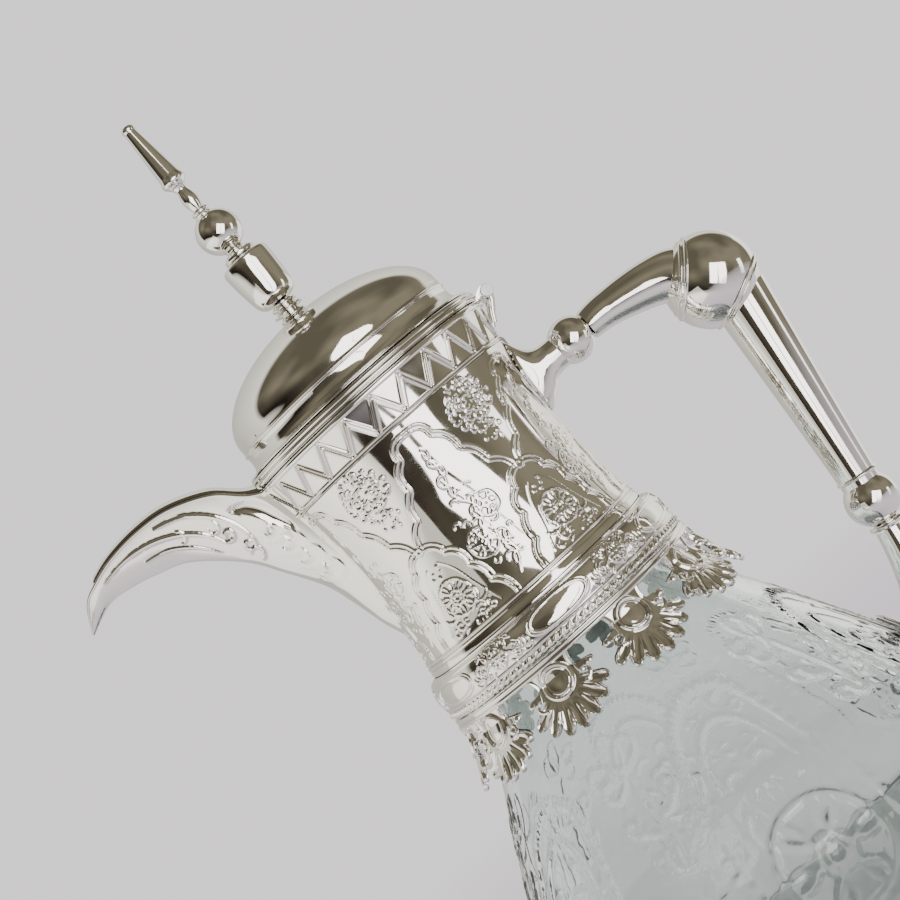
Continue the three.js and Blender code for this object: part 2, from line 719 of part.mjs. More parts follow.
const upperBallPlace = new THREE.Vector3(upperBall.x, 0, upperBall.z);
const elbowPlace = new THREE.Vector3(elbow.x, 0, elbow.z);
const lowerBallPlace = new THREE.Vector3(lowerBall.x, 0, lowerBall.z);
const ringStart = elbowCut + gap;
const ringEnd = ringStart + elbowRingWidth;
const longArmStart = elbowPlace.clone().addScaledVector(elbowLowerAxis, ringEnd - 2);
const longArmAxis = lowerBallPlace.clone().sub(longArmStart).normalize();
const lowerRingStart = Math.sqrt(lowerBall.radius ** 2 - 4 ** 2) + gap;
const studHole = handleStudRadius + handleStudClearance;

/** A pointed shield outline, as a prism that runs along +X. */
function shieldPrism(middleZ, halfWidth, halfHeight) {
  const shape = new THREE.Shape();
  shape.moveTo(0, halfHeight);
  shape.bezierCurveTo(halfWidth * 0.35, halfHeight * 0.62, halfWidth, halfHeight * 0.5,
    halfWidth, halfHeight * 0.12);
  shape.bezierCurveTo(halfWidth, -halfHeight * 0.4, halfWidth * 0.4, -halfHeight * 0.7,
    0, -halfHeight);
  shape.bezierCurveTo(-halfWidth * 0.4, -halfHeight * 0.7, -halfWidth, -halfHeight * 0.4,
    -halfWidth, halfHeight * 0.12);
  shape.bezierCurveTo(-halfWidth, halfHeight * 0.5, -halfWidth * 0.35, halfHeight * 0.62,
    0, halfHeight);
  const geometry = new THREE.ExtrudeGeometry(shape, {
    depth: bellyRadius + 60, bevelEnabled: false, curveSegments: 6,
  });
  const turn = new THREE.Matrix4().makeBasis(new THREE.Vector3(0, 1, 0),
    new THREE.Vector3(0, 0, 1), new THREE.Vector3(1, 0, 0));
  return solid(geometry.applyMatrix4(turn).translate(0, 0, middleZ));
}

/** An oval flare from a shield to a ball: [x, centre z, half height, half width] stations. */
function flare(stations) {
  return loft(stations.map(([x, z, halfHeight, halfWidth]) => Array.from({ length: 16 }, (_, i) => {
    const turn = (2 * Math.PI * i) / 16;
    return new THREE.Vector3(x, halfWidth * Math.cos(turn), z + halfHeight * Math.sin(turn));
  })));
}

function makeUpperShield() {
  const plateZ = upperBall.z + 1.4;
  const plate = skinOver(collarOutline, gap, gap + shieldThickness)
    .intersect(shieldPrism(plateZ, shieldHalfWidth, shieldHalfHeight));
  const rootX = mountRadius + 0.1;
  const trumpet = flare([
    [rootX - 3, plateZ, shieldHalfHeight - 2.4, shieldHalfWidth - 2],
    [rootX + 2.2, plateZ - 0.1, shieldHalfHeight - 3, shieldHalfWidth - 2.4],
    [rootX + 4, upperBall.z + 0.9, 7.6, 5.8], [rootX + 6, upperBall.z + 0.4, 5.9, 5],
    [rootX + 9, upperBall.z + 0.1, 4.9, 4.6],
    [upperBall.x - 3, upperBall.z, 4.6, 4.6],
  ]);
  const collarSide = skinOver(collarOutline, -14, gap);
  const bore = bar(screwRadius + handleStudClearance, -2, screwReach + 0.8, screwSeat, screwAxis);
  const studBoreHole = bar(studHole, -handleStudReach - 0.3, 0, upperBallPlace, screwAxis);
  return plate.add(trumpet.subtract(collarSide)).subtract(ball(upperBall, upperBall.radius + gap))
    .subtract(bore).subtract(studBoreHole);
}

function makeUpperBall() {
  return ball(upperBall, upperBall.radius).subtract(bar(studHole, -12, 12, upperBallPlace, screwAxis));
}

function makeUpperArm() {
  const endX = elbow.x - 3.3;
  const endZ = elbow.z + 7;
  const reach = endX - upperBall.x;
  const places = [
    [upperBall.x + 5, upperBall.z], [upperBall.x + reach * 0.31, upperBall.z],
    [upperBall.x + reach * 0.53, upperBall.z - 1.2], [upperBall.x + reach * 0.74, upperBall.z - 3.2],
    [endX, endZ],
  ];
  const cut = elbowPlace.clone().addScaledVector(elbowUpperAxis, ringEnd + gap);
  return arm(places, upperArmRadii)
    .subtract(beyond(cut, elbowUpperAxis.clone().negate()))
    .subtract(ball(upperBall, upperBall.radius + gap))
    .subtract(bar(studHole, 0, 12.3, upperBallPlace, screwAxis))
    .subtract(bar(studHole, 0, ringEnd + 8.3, elbowPlace, elbowUpperAxis));
}

function makeElbowRing(axis) {
  const inner = studHole;
  return turnedAlong([
    [inner, ringStart], [elbowRingRadius - 0.6, ringStart], [elbowRingRadius, ringStart + 0.7],
    [elbowRingRadius - 0.6, ringStart + 1.4], [elbowRingRadius - 1.9, ringStart + 1.6],
    [elbowRingRadius - 1.3, ringStart + 2.1], [elbowRingRadius - 1.9, ringEnd], [inner, ringEnd],
  ], elbowPlace, axis, 20);
}

function makeElbowBall() {
  let body = ball(elbow, elbow.radius);
  for (const axis of [elbowUpperAxis, elbowLowerAxis]) {
    body = body.subtract(beyond(elbowPlace.clone().addScaledVector(axis, elbowCut), axis))
      .subtract(bar(studHole, 2.6, 20, elbowPlace, axis));
  }
  return body;
}

function makeLongArm() {
  const cut = elbowPlace.clone().addScaledVector(elbowLowerAxis, ringEnd + gap);
  const far = lowerBallPlace.clone().addScaledVector(longArmAxis, -5);
  const start = longArmStart.clone().addScaledVector(longArmAxis, -4);
  return arm([[start.x, start.z], [far.x, far.z]], longArmRadii)
    .subtract(beyond(cut, elbowLowerAxis.clone().negate()))
    .subtract(ball(lowerBall, lowerBall.radius + gap))
    .subtract(bar(studHole, 0, ringEnd + 8.3, elbowPlace, elbowLowerAxis))
    .subtract(bar(studHole, -17.3, 0, lowerBallPlace, longArmAxis));
}

function makeLowerBall() {
  return ball(lowerBall, lowerBall.radius)
    .subtract(bar(studHole, -12, 12, lowerBallPlace, longArmAxis))
    .subtract(beyond(lowerBallPlace.clone().addScaledVector(longArmAxis, lowerRingStart - gap),
      longArmAxis));
}

function makeLowerRing() {
  const end = lowerRingStart + lowerRingWidth;
  return turnedAlong([
    [studHole, lowerRingStart], [lowerRingRadius - 0.6, lowerRingStart],
    [lowerRingRadius, lowerRingStart + 0.8], [lowerRingRadius - 0.6, end], [studHole, end],
  ], lowerBallPlace, longArmAxis);
}

const footRadiusAtShield = valueAt(glassOutline.toReversed().map(([r, z]) => [-z, r]), -handleFootZ);
const footOutline = glassOutline.filter(([, z]) => z > handleFootZ - 34 && z < handleFootZ + 34);

function makeLowerArm() {
  const start = lowerBallPlace.clone()
    .addScaledVector(longArmAxis, lowerRingStart + lowerRingWidth + gap);
  const foot = new THREE.Vector3(footRadiusAtShield + 1, 0, handleFootZ);
  const drop = start.clone().addScaledVector(longArmAxis, 18);
  const path = new THREE.QuadraticBezierCurve3(start, drop, foot);
  const places = [0, 1 / 3, 2 / 3, 1].map((t) => path.getPoint(t)).map((point) => [point.x, point.z]);
  const clear = gap + bondThickness + gap + shieldThickness + gap;
  return arm(places, lowerArmRadii)
    .subtract(beyond(start, longArmAxis.clone().negate()))
    .subtract(skinOver(footOutline, -30, clear))
    .subtract(bar(studHole, 0, 20.3, lowerBallPlace, longArmAxis));
}

function makeLowerShield() {
  const inner = gap + bondThickness + gap;
  return skinOver(footOutline, inner, inner + shieldThickness)
    .intersect(shieldPrism(handleFootZ, shieldHalfWidth + 0.5, shieldHalfHeight + 1));
}

function makeBondPad() {
  return skinOver(footOutline, gap, gap + bondThickness)
    .intersect(shieldPrism(handleFootZ, shieldHalfWidth - 0.5, shieldHalfHeight));
}

function makeScrew() {
  const seat = -collarWall - gap - washerThickness - gap;
  return turnedAlong([
    [0, seat - 2.4], [screwHeadRadius - 1, seat - 2.4], [screwHeadRadius, seat - 1.2],
    [screwHeadRadius, seat], [screwRadius, seat], [screwRadius, screwReach], [0, screwReach],
  ], screwSeat, screwAxis);
}

function makeScrewWasher() {
  const outer = -collarWall - gap;
  const inner = outer - washerThickness;
  return turnedAlong([[screwRadius + gap, inner], [washerRadius, inner], [washerRadius, outer],
    [screwRadius + gap, outer]], screwSeat, screwAxis);
}

// ---------------------------------------------------------------- the pot

const pieces = [
  ["glass_body", makeGlassBody(), glass],
  ["neck_seal", makeNeckSeal(), silicone],
  ["neck_liner", makeNeckLiner(), liner],
  ["collar_shell", makeCollarShell(), plated],
  ["collar_belt", makeCollarBelt(), plated],
  ["palmette_skirt", makePalmetteSkirt(), plated],
  ["hinge_bracket", makeHingeBracket(), plated],
  ["hinge_pin", makeHingePin(), steel],
  ["handle_shield_upper", makeUpperShield(), plated],
  ["handle_screw", makeScrew(), steel],
  ["screw_washer", makeScrewWasher(), silicone],
  ["handle_ball_upper", makeUpperBall(), plated],
  ["handle_stud_upper", bar(handleStudRadius, -handleStudReach, 12, upperBallPlace, screwAxis), steel],
  ["handle_arm_upper", makeUpperArm(), plated],
  ["elbow_ring_upper", makeElbowRing(elbowUpperAxis), plated],
  ["elbow_stud_upper", bar(handleStudRadius, 3, ringEnd + 8, elbowPlace, elbowUpperAxis), steel],
  ["elbow_ball", makeElbowBall(), plated],
  ["elbow_ring_lower", makeElbowRing(elbowLowerAxis), plated],
  ["elbow_stud_lower", bar(handleStudRadius, 3, ringEnd + 8, elbowPlace, elbowLowerAxis), steel],
  ["handle_arm_long", makeLongArm(), plated],
  ["handle_ball_lower", makeLowerBall(), plated],
  ["handle_stud_lower", bar(handleStudRadius, -17, 20, lowerBallPlace, longArmAxis), steel],
  ["handle_ring_lower", makeLowerRing(), plated],
  ["handle_arm_lower", makeLowerArm(), plated],
  ["handle_shield_lower", makeLowerShield(), plated],
  ["bond_pad", makeBondPad(), silicone],
  ["lid_flange", makeLidFlange(), plated],
  ["lid_dome", makeLidDome(), plated],
  ["lid_liner", makeLidLiner(), liner],
  ["lid_seal", makeLidSeal(), silicone],
  ["finial_rings", makeFinialRings(), plated],
  ["finial_barrel", makeFinialBarrel(), plated],
  ["finial_step", makeFinialStep(), plated],
  ["finial_ball", makeFinialBall(), plated],
  ["finial_collar", makeFinialCollar(), plated],
  ["finial_spindle", makeFinialSpindle(), plated],
  ["finial_cone", makeFinialCone(), plated],
  ["finial_stud", makeFinialStud(), steel],
  ["finial_nut", makeFinialNut(), steel],
];

const pot = new THREE.Group();
for (const [name, body, material] of pieces) {
  const mesh = new THREE.Mesh(geometryOf(body), material.clone());
  mesh.name = name;
  pot.add(mesh);
}

export default pot;
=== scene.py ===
"""Looks of a dallah coffee pot: pressed glass below a silver-plated collar, spout, lid and handle.

Sizes in the classes are millimetres, but for the studio's, which are metres, and meshes are scaled
to metres when they are made. +Z is up, the spout points to -X and the handle to +X. Angles round
the pot start at -Y and grow towards +X.
"""

import logging
import math
from dataclasses import dataclass
from enum import Enum
from typing import Callable

import bpy
import numpy as np
from mathutils import Matrix, Vector

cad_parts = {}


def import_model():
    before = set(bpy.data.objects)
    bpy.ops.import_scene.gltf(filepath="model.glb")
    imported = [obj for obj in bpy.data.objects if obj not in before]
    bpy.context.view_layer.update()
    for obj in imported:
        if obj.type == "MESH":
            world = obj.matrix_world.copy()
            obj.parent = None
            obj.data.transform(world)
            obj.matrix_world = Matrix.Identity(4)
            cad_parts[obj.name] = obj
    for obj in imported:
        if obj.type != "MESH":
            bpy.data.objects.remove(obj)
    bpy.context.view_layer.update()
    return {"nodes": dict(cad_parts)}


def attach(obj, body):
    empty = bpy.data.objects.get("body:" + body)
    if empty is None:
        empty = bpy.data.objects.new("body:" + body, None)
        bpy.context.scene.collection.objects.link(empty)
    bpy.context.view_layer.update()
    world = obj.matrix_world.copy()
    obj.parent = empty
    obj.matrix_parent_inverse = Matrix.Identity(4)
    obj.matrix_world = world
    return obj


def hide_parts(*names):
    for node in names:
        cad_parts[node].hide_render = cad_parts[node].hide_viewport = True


LOG = logging.getLogger("dallah")
MM = 0.001
TURN = 2 * math.pi
GOLDEN = 0.381966  # the share of a turn that spreads leaves most evenly
TINY = 1e-9
UPWARD = Vector((0, 0, 1))
ACROSS = Vector((0, 1, 0))
Pairs = list[tuple[float, float]]
Relief = Callable[[np.ndarray, np.ndarray], np.ndarray]


class Body(str, Enum):
    """The bodies that pieces ride on."""

    POT = "pot"
    LID = "lid"


class Slot(str, Enum):
    """The finish slots of the part."""

    PLATE = "silver_plate"
    GLASS = "pressed_glass"
    SILICONE = "silicone"
    ADHESIVE = "clear_adhesive"
    PLASTIC = "liner_plastic"
    STEEL = "steel"


# ------------------------------------------------------------------ colours and nodes


def linear(hex_colour: str) -> tuple[float, float, float, float]:
    """Turns an sRGB hex colour to linear light.

    Args:
        hex_colour: A colour such as "#F4F1EC".

    Returns:
        Linear red, green, blue and an alpha of 1.
    """
    parts = [int(hex_colour[i:i + 2], 16) / 255 for i in (1, 3, 5)]
    light = [p / 12.92 if p <= 0.04045 else ((p + 0.055) / 1.055) ** 2.4 for p in parts]
    return (light[0], light[1], light[2], 1.0)


def add(tree: bpy.types.NodeTree, kind: str, sockets: dict | None = None,
        **settings: object) -> bpy.types.Node:
    """Adds one node with its settings and links.

    Args:
        tree: The node tree that takes it.
        kind: The node's type name.
        sockets: A constant, or an output socket to link, for each input by name or index.
        settings: The node's own properties.

    Returns:
        The new node.
    """
    made = tree.nodes.new(kind)
    for name, value in settings.items():
        setattr(made, name, value)
    for socket, value in (sockets or {}).items():
        if isinstance(value, bpy.types.NodeSocket):
            tree.links.new(value, made.inputs[socket])
        else:
            made.inputs[socket].default_value = value
    return made


def new_material(name: str) -> tuple[bpy.types.Material, bpy.types.NodeTree]:
    """Makes an empty node material and returns it with its tree."""
    made = bpy.data.materials.new(name)
    made.use_nodes = True
    made.node_tree.nodes.clear()
    return made, made.node_tree


def finish_with(tree: bpy.types.NodeTree, shader: bpy.types.Node) -> None:
    """Links a shader to the material's output."""
    add(tree, "ShaderNodeOutputMaterial", {"Surface": shader.outputs[0]})


def grain(tree: bpy.types.NodeTree, size_mm: float, detail: float = 2.0) -> bpy.types.NodeSocket:
    """Noise over the piece whose blotches are about a real size apart.

    Args:
        tree: The material's tree.
        size_mm: Distance between neighbouring blotches in millimetres.
        detail: Octaves of finer noise.

    Returns:
        The noise value, 0 to 1.
    """
    place = add(tree, "ShaderNodeTexCoord")
    noise = add(tree, "ShaderNodeTexNoise", {
        "Vector": place.outputs["Object"], "Scale": 1 / (size_mm * MM), "Detail": detail,
    })
    return noise.outputs[0]


def spread(tree: bpy.types.NodeTree, value: bpy.types.NodeSocket, low: float, high: float,
           start: float = 0.3, end: float = 0.7) -> bpy.types.NodeSocket:
    """Spreads a 0 to 1 value over another range.

    Args:
        tree: The material's tree.
        value: The value to spread.
        low: The result at start.
        high: The result at end.
        start: The value that gives low.
        end: The value that gives high.

    Returns:
        The spread value.
    """
    made = add(tree, "ShaderNodeMapRange", {
        "Value": value, "From Min": start, "From Max": end, "To Min": low, "To Max": high,
    })
    return made.outputs[0]


# ------------------------------------------------------------------ finishes


@dataclass(frozen=True)
class SilverPlate:
    """Silver electroplated over polished die-cast zinc: a mirror, warm and darker only in its hollows
    from painted shade and tarnish.
    """

    bright: str = "#F7F5F2"
    # the colour of the painted shade and tarnish in narrow hollows
    hollow: str = "#A69C8C"
    smooth: float = 0.035
    hazy: float = 0.085
    ripple_mm: float = 7.0

    def material(self) -> bpy.types.Material:
        """Builds the mirror with painted shade and tarnish in hollows, faint haze and the ripple of a
        casting.
        """
        made, tree = new_material("silver_plate_polished")
        shape = add(tree, "ShaderNodeNewGeometry")
        # narrow hollows, found by pointiness, are darkened towards a brownish colour: painted shade,
        # together with the thin tarnish that polishing wheels miss
        hollow_shade_and_tarnish = spread(tree, shape.outputs["Pointiness"], 1.0, 0.0, 0.42, 0.5)
        colour = add(tree, "ShaderNodeMix", {
            0: hollow_shade_and_tarnish, 6: linear(self.bright), 7: linear(self.hollow),
        }, data_type="RGBA")
        # handling haze in blotches a few millimetres across
        haze = spread(tree, grain(tree, 5.0, 3.0), self.smooth, self.hazy)
        # plating follows the slow ripple that polishing leaves on soft zinc
        ripple = add(tree, "ShaderNodeBump", {
            "Strength": 0.35, "Distance": 0.05 * MM, "Height": grain(tree, self.ripple_mm, 1.0),
        })
        metal = add(tree, "ShaderNodeBsdfPrincipled", {
            "Base Color": colour.outputs[2], "Metallic": 1.0, "Roughness": haze,
            "Normal": ripple.outputs[0],
        })
        finish_with(tree, metal)
        return made


@dataclass(frozen=True)
class PressedGlass:
    """Soda-lime glass pressed in a mould: clear, faintly green, with soft chill waves."""

    tint: str = "#E9F1ED"
    refraction: float = 1.52
    polish: float = 0.015
    chill_mm: float = 9.0

    def material(self) -> bpy.types.Material:
        """Builds clear glass whose skin waves slightly where the mould chilled it."""
        made, tree = new_material("pressed_soda_lime_glass")
        # the chill waves are what makes pressed glass shimmer beside blown glass
        waves = add(tree, "ShaderNodeBump", {
            "Strength": 0.5, "Distance": 0.12 * MM, "Height": grain(tree, self.chill_mm, 2.0),
        })
        glass = add(tree, "ShaderNodeBsdfPrincipled", {
            "Base Color": linear(self.tint), "Roughness": self.polish, "IOR": self.refraction,
            "Transmission Weight": 1.0, "Normal": waves.outputs[0],
        })
        finish_with(tree, glass)
        return made


@dataclass(frozen=True)
class Moulded:
    """A moulded or turned everyday material with a fine surface grain."""

    name: str
    colour: str
    worn: str
    rough: float
    grain_mm: float
    metallic: float = 0.0
    refraction: float = 1.5
    see_through: float = 0.0

    def material(self) -> bpy.types.Material:
        """Builds the material with colour drift, uneven polish and its grain as fine bump."""
        made, tree = new_material(self.name)
        drift = spread(tree, grain(tree, 12.0, 3.0), 0.0, 1.0)
        colour = add(tree, "ShaderNodeMix", {
            0: drift, 6: linear(self.colour), 7: linear(self.worn),
        }, data_type="RGBA")
        skin = add(tree, "ShaderNodeBump", {
            "Strength": 0.3, "Distance": 0.03 * MM, "Height": grain(tree, self.grain_mm, 4.0),
        })
        polish = spread(tree, grain(tree, 4.0, 2.0), self.rough * 0.85, self.rough * 1.15)
        shader = add(tree, "ShaderNodeBsdfPrincipled", {
            "Base Color": colour.outputs[2], "Metallic": self.metallic, "Roughness": polish,
            "IOR": self.refraction, "Transmission Weight": self.see_through,
            "Normal": skin.outputs[0],
        })
        finish_with(tree, shader)
        return made


# silicone rubber moulded in a polished tool: milky, soft sheen
SILICONE_RUBBER = Moulded("silicone_rubber_moulded", "#E9ECEB", "#DDE0DE", 0.5, 0.4, refraction=1.41)
# polypropylene, injection moulded with a fine spark grain of about 0.3 mm
LINER_PP = Moulded("polypropylene_moulded", "#F2F0EA", "#E6E3DA", 0.42, 0.3, refraction=1.49)
# zinc-plated steel, turned: grey with fine tool lines
TURNED_STEEL = Moulded("zinc_plated_steel", "#B4B6B8", "#9DA0A4", 0.3, 0.25, metallic=1.0)
# ultraviolet-cured acrylic adhesive: clear, slightly yellow
CURED_ACRYLIC = Moulded("cured_acrylic_adhesive", "#F3F4EC", "#EDEEDF", 0.15, 1.0, refraction=1.49,
                        see_through=0.9)


class Finishes:
    """Makes each finish once and dresses pieces and carried-over parts in it."""

    def __init__(self) -> None:
        """Builds the material of every slot."""
        self.materials: dict[Slot, bpy.types.Material] = {
            Slot.PLATE: SilverPlate().material(),
            Slot.GLASS: PressedGlass().material(),
            Slot.SILICONE: SILICONE_RUBBER.material(),
            Slot.ADHESIVE: CURED_ACRYLIC.material(),
            Slot.PLASTIC: LINER_PP.material(),
            Slot.STEEL: TURNED_STEEL.material(),
        }

    def dress(self, piece: bpy.types.Object, slot: Slot, body: Body, *nodes: str) -> bpy.types.Object:
        """Gives a new piece its finish, its body and the parts that it stands for.

        Args:
            piece: The new piece.
            slot: The finish it takes.
            body: The body it rides on.
            nodes: Parts of the frame that it stands for.

        Returns:
            The piece.
        """
        piece.data.materials.append(self.materials[slot])
        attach(piece, body.value)
        if nodes:
            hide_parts(*nodes)
        LOG.info("%s: %d faces, rides on %s", piece.name, len(piece.data.polygons), body.value)
        return piece

    def redress(self, nodes: dict[str, bpy.types.Object], slot: Slot, names: list[str]) -> None:
        """Gives parts of the frame that stay a better material.

        Args:
            nodes: The frame's parts by name.
            slot: The finish they take.
            names: The parts to dress.
        """
        for name in names:
            for place in nodes[name].material_slots:
                place.material = self.materials[slot]
            LOG.info("%s: kept, %s", name, slot.value)


# ------------------------------------------------------------------ curves


def spline(points: Pairs, count: int) -> np.ndarray:
    """A smooth curve through points.

    Args:
        points: Points with any number of coordinates.
        count: How many points to give back.

    Returns:
        The curve's points, one a row.
    """
    knots = np.asarray(points, float)
    knots = np.vstack([knots[:1], knots, knots[-1:]])
    spans = len(points) - 1
    along = np.linspace(0, spans, count)
    at = np.minimum(along.astype(int), spans - 1)
    f = (along - at)[:, None]
    a, b, c, d = (knots[at + i] for i in range(4))
    return 0.5 * (2 * b + (c - a) * f + (2 * a - 5 * b + 4 * c - d) * f ** 2
                  + (3 * b - a - 3 * c + d) * f ** 3)


def evenly(points: np.ndarray, count: int) -> np.ndarray:
    """Points at equal steps along a polyline.

    Args:
        points: The polyline's points.
        count: How many points to give back.

    Returns:
        The evenly spaced points.
    """
    steps = np.linalg.norm(np.diff(points, axis=0), axis=1)
    reach = np.concatenate([[0.0], np.cumsum(steps)])
    along = np.linspace(0, reach[-1], count)
    return np.column_stack([np.interp(along, reach, points[:, k]) for k in range(points.shape[1])])


def eased(points: Pairs, radius: float = 0.3, steps: int = 4) -> np.ndarray:
    """Rounds the corners of a [radius, height] outline.

    Args:
        points: The outline's corners.
        radius: How far from each corner the rounding starts.
        steps: Points on each rounded corner.

    Returns:
        The rounded outline, its two ends unchanged.
    """
    corners = np.asarray(points, float)
    made = [corners[0]]
    for before, corner, after in zip(corners[:-2], corners[1:-1], corners[2:]):
        back, ahead = before - corner, after - corner
        start = corner + back * min(0.45, radius / max(np.linalg.norm(back), 1e-6))
        end = corner + ahead * min(0.45, radius / max(np.linalg.norm(ahead), 1e-6))
        for t in np.linspace(0, 1, steps):
            made.append((1 - t) ** 2 * start + 2 * t * (1 - t) * corner + t * t * end)
    made.append(corners[-1])
    return np.array(made)


def headings(path: np.ndarray) -> np.ndarray:
    """Unit directions along a path of points."""
    along = np.gradient(path, axis=0)
    return along / np.linalg.norm(along, axis=1, keepdims=True)


def lefts(line: np.ndarray) -> np.ndarray:
    """Unit directions to the left of a flat line."""
    along = np.gradient(line, axis=0)
    left = np.column_stack([-along[:, 1], along[:, 0]])
    return left / np.maximum(np.linalg.norm(left, axis=1, keepdims=True), TINY)


def outward(outline: np.ndarray) -> np.ndarray:
    """Unit normals of a rising [radius, height] outline."""
    return -lefts(outline)


def moved_out(outline: np.ndarray, distance: float) -> np.ndarray:
    """A rising [radius, height] outline moved away from the axis, square to itself."""
    return outline + outward(outline) * distance


def round_angles(sides: int) -> np.ndarray:
    """Equal angles round a circle, the first of them 0."""
    return np.arange(sides) * TURN / sides


def in_plane(place: tuple[float, float]) -> Vector:
    """An [x, z] place in the upright plane through the spout and the handle."""
    return Vector((place[0], 0, place[1]))


# ------------------------------------------------------------------ meshes


class Skin:
    """Closed parts that gather until they become one piece."""

    def __init__(self) -> None:
        """Starts empty."""
        self.places: list[np.ndarray] = []
        self.faces: list[list[int]] = []
        self.count = 0

    def add(self, places: np.ndarray, faces: list[list[int]]) -> None:
        """Adds a part and turns its faces outwards.

        Args:
            places: The part's points in millimetres.
            faces: Its faces as lists of point numbers.
        """
        fan = np.array([[face[0], face[i], face[i + 1]] for face in faces
                        for i in range(1, len(face) - 1)])
        a, b, c = (places[fan[:, i]] for i in range(3))
        if np.einsum("ij,ij->", a, np.cross(b, c)) < 0:
            faces = [face[::-1] for face in faces]
        self.places.append(places)
        self.faces += [[i + self.count for i in face] for face in faces]
        self.count += len(places)

    def grid(self, places: np.ndarray, wrap_rows: bool = False, wrap_columns: bool = True,
             keep: np.ndarray | None = None) -> None:
        """Adds a grid of points as quads, with flat ends where its rows don't wrap.

        Args:
            places: Points as rows, columns, xyz.
            wrap_rows: Whether the last row joins the first.
            wrap_columns: Whether the last column joins the first.
            keep: Which quads to keep, if not all.
        """
        rows, columns = places.shape[:2]
        row = np.arange(rows if wrap_rows else rows - 1)[:, None]
        column = np.arange(columns if wrap_columns else columns - 1)[None, :]
        right, up = (column + 1) % columns, (row + 1) % rows
        quads = np.stack([row * columns + column, row * columns + right,
                          up * columns + right, up * columns + column], -1)
        quads = quads[keep] if keep is not None else quads.reshape(-1, 4)
        faces = quads.tolist()
        if wrap_columns and not wrap_rows:
            faces.append(list(range(columns))[::-1])
            faces.append([(rows - 1) * columns + i for i in range(columns)])
        self.add(places.reshape(-1, 3), faces)

    def sheet(self, front: np.ndarray, back: np.ndarray) -> None:
        """Adds two open grids of the same size, joined round their edges.

        Args:
            front: Points of one side as rows, columns, xyz.
            back: Points of the other side.
        """
        rows, columns = front.shape[:2]
        half = rows * columns
        faces = []
        for r in range(rows - 1):
            for c in range(columns - 1):
                a = r * columns + c
                faces.append([a, a + 1, a + columns + 1, a + columns])
                faces.append([half + a + columns, half + a + columns + 1, half + a + 1, half + a])
        rim = list(range(columns)) + [r * columns + columns - 1 for r in range(1, rows)]
        rim += [(rows - 1) * columns + c for c in range(columns - 2, -1, -1)]
        rim += [r * columns for r in range(rows - 2, 0, -1)]
        for a, b in zip(rim, rim[1:] + rim[:1]):
            faces.append([b, a, half + a, half + b])
        self.add(np.concatenate([front.reshape(-1, 3), back.reshape(-1, 3)]), faces)

    def turned(self, outline: np.ndarray, sides: int = 64, place: Vector = Vector((0, 0, 0)),
               axis: Vector = UPWARD) -> None:
        """Adds a solid turned about an axis.

        Args:
            outline: [radius, distance] points. They close on the axis or on themselves.
            sides: How many facets round the axis.
            place: A point on the axis.
            axis: The direction of growing distance.
        """
        reach = np.maximum(outline[:, 0], 1e-3)
        turn = round_angles(sides)
        side = axis.orthogonal().normalized()
        other = np.array(axis.normalized().cross(side))
        across = np.cos(turn)[:, None] * np.array(side) + np.sin(turn)[:, None] * other
        places = np.array(place) + reach[:, None, None] * across[None]
        places = places + outline[:, 1, None, None] * np.array(axis.normalized())
        self.grid(places, wrap_rows=outline[0, 0] > 0.01)

    def swept(self, path: np.ndarray, radii: np.ndarray, sides: int = 48, beside: float = 0.0) -> None:
        """Adds a round bar along a path beside the upright plane through spout and handle.

        Args:
            path: [x, z] points.
            radii: The bar's radius at each point.
            sides: How many facets round it.
            beside: The path's y.
        """
        along, turn = headings(path), round_angles(sides)
        lift = radii[:, None] * np.cos(turn)[None]
        x = path[:, :1] + along[:, 1:] * lift
        z = path[:, 1:] - along[:, :1] * lift
        self.grid(np.stack([x, beside + radii[:, None] * np.sin(turn)[None], z], -1))

    def piece(self, name: str, sharp: float = 38.0) -> bpy.types.Object:
        """Makes the gathered parts into one smooth-shaded piece.

        Args:
            name: The piece's name.
            sharp: Edges that turn by more degrees than this stay crisp.

        Returns:
            The piece, linked to the scene.
        """
        mesh = bpy.data.meshes.new(name)
        mesh.from_pydata((np.concatenate(self.places) * MM).tolist(), [], self.faces)
        mesh.validate()
        mesh.shade_smooth()
        mesh.set_sharp_from_angle(angle=math.radians(sharp))
        made = bpy.data.objects.new(name, mesh)
        bpy.context.scene.collection.objects.link(made)
        return made

    def plated(self, finishes: Finishes, name: str, body: Body, node: str) -> None:
        """Makes the gathered parts into one silver-plated piece.

        Args:
            finishes: Dresses the piece.
            name: The piece's name.
            body: The body it rides on.
            node: The part of the frame that it stands for.
        """
        finishes.dress(self.piece(name), Slot.PLATE, body, node)


def plain(x: np.ndarray, z: np.ndarray) -> np.ndarray:
    """The relief of a plain surface, which has no height anywhere."""
    return np.zeros(np.broadcast(x, z).shape)


def wrapped(outline: np.ndarray, tiles: int, columns: int, relief: Relief = plain,
            start: float = 0.0) -> np.ndarray:
    """A turned surface whose relief repeats round the pot.

    Args:
        outline: Rising [radius, z] points.
        tiles: How many times the relief repeats.
        columns: Points across each tile.
        relief: Height from distance beside a tile's middle and z.
        start: Angle of one tile's middle, in degrees.

    Returns:
        Points as rows, columns, xyz.
    """
    pitch = TURN / tiles
    turn = ((np.arange(columns) + 0.5) / columns - 0.5) * pitch
    x = outline[:, :1] * turn[None]
    z = np.broadcast_to(outline[:, 1:], x.shape)
    height = relief(x, z)
    normal = outward(outline)
    radius = np.tile(outline[:, :1] + normal[:, :1] * height, (1, tiles))
    rise = np.tile(z + normal[:, 1:] * height, (1, tiles))
    angle = math.radians(start) + (np.arange(tiles * columns) + 0.5) / columns * pitch - pitch / 2
    return np.stack([radius * np.sin(angle), -radius * np.cos(angle), rise], -1)


# ------------------------------------------------------------------ relief


@dataclass(frozen=True)
class Stroke:
    """One raised or cut line of an ornament."""

    path: np.ndarray
    half: float = 0.45
    height: float = 0.35
    taper: float = 0.0


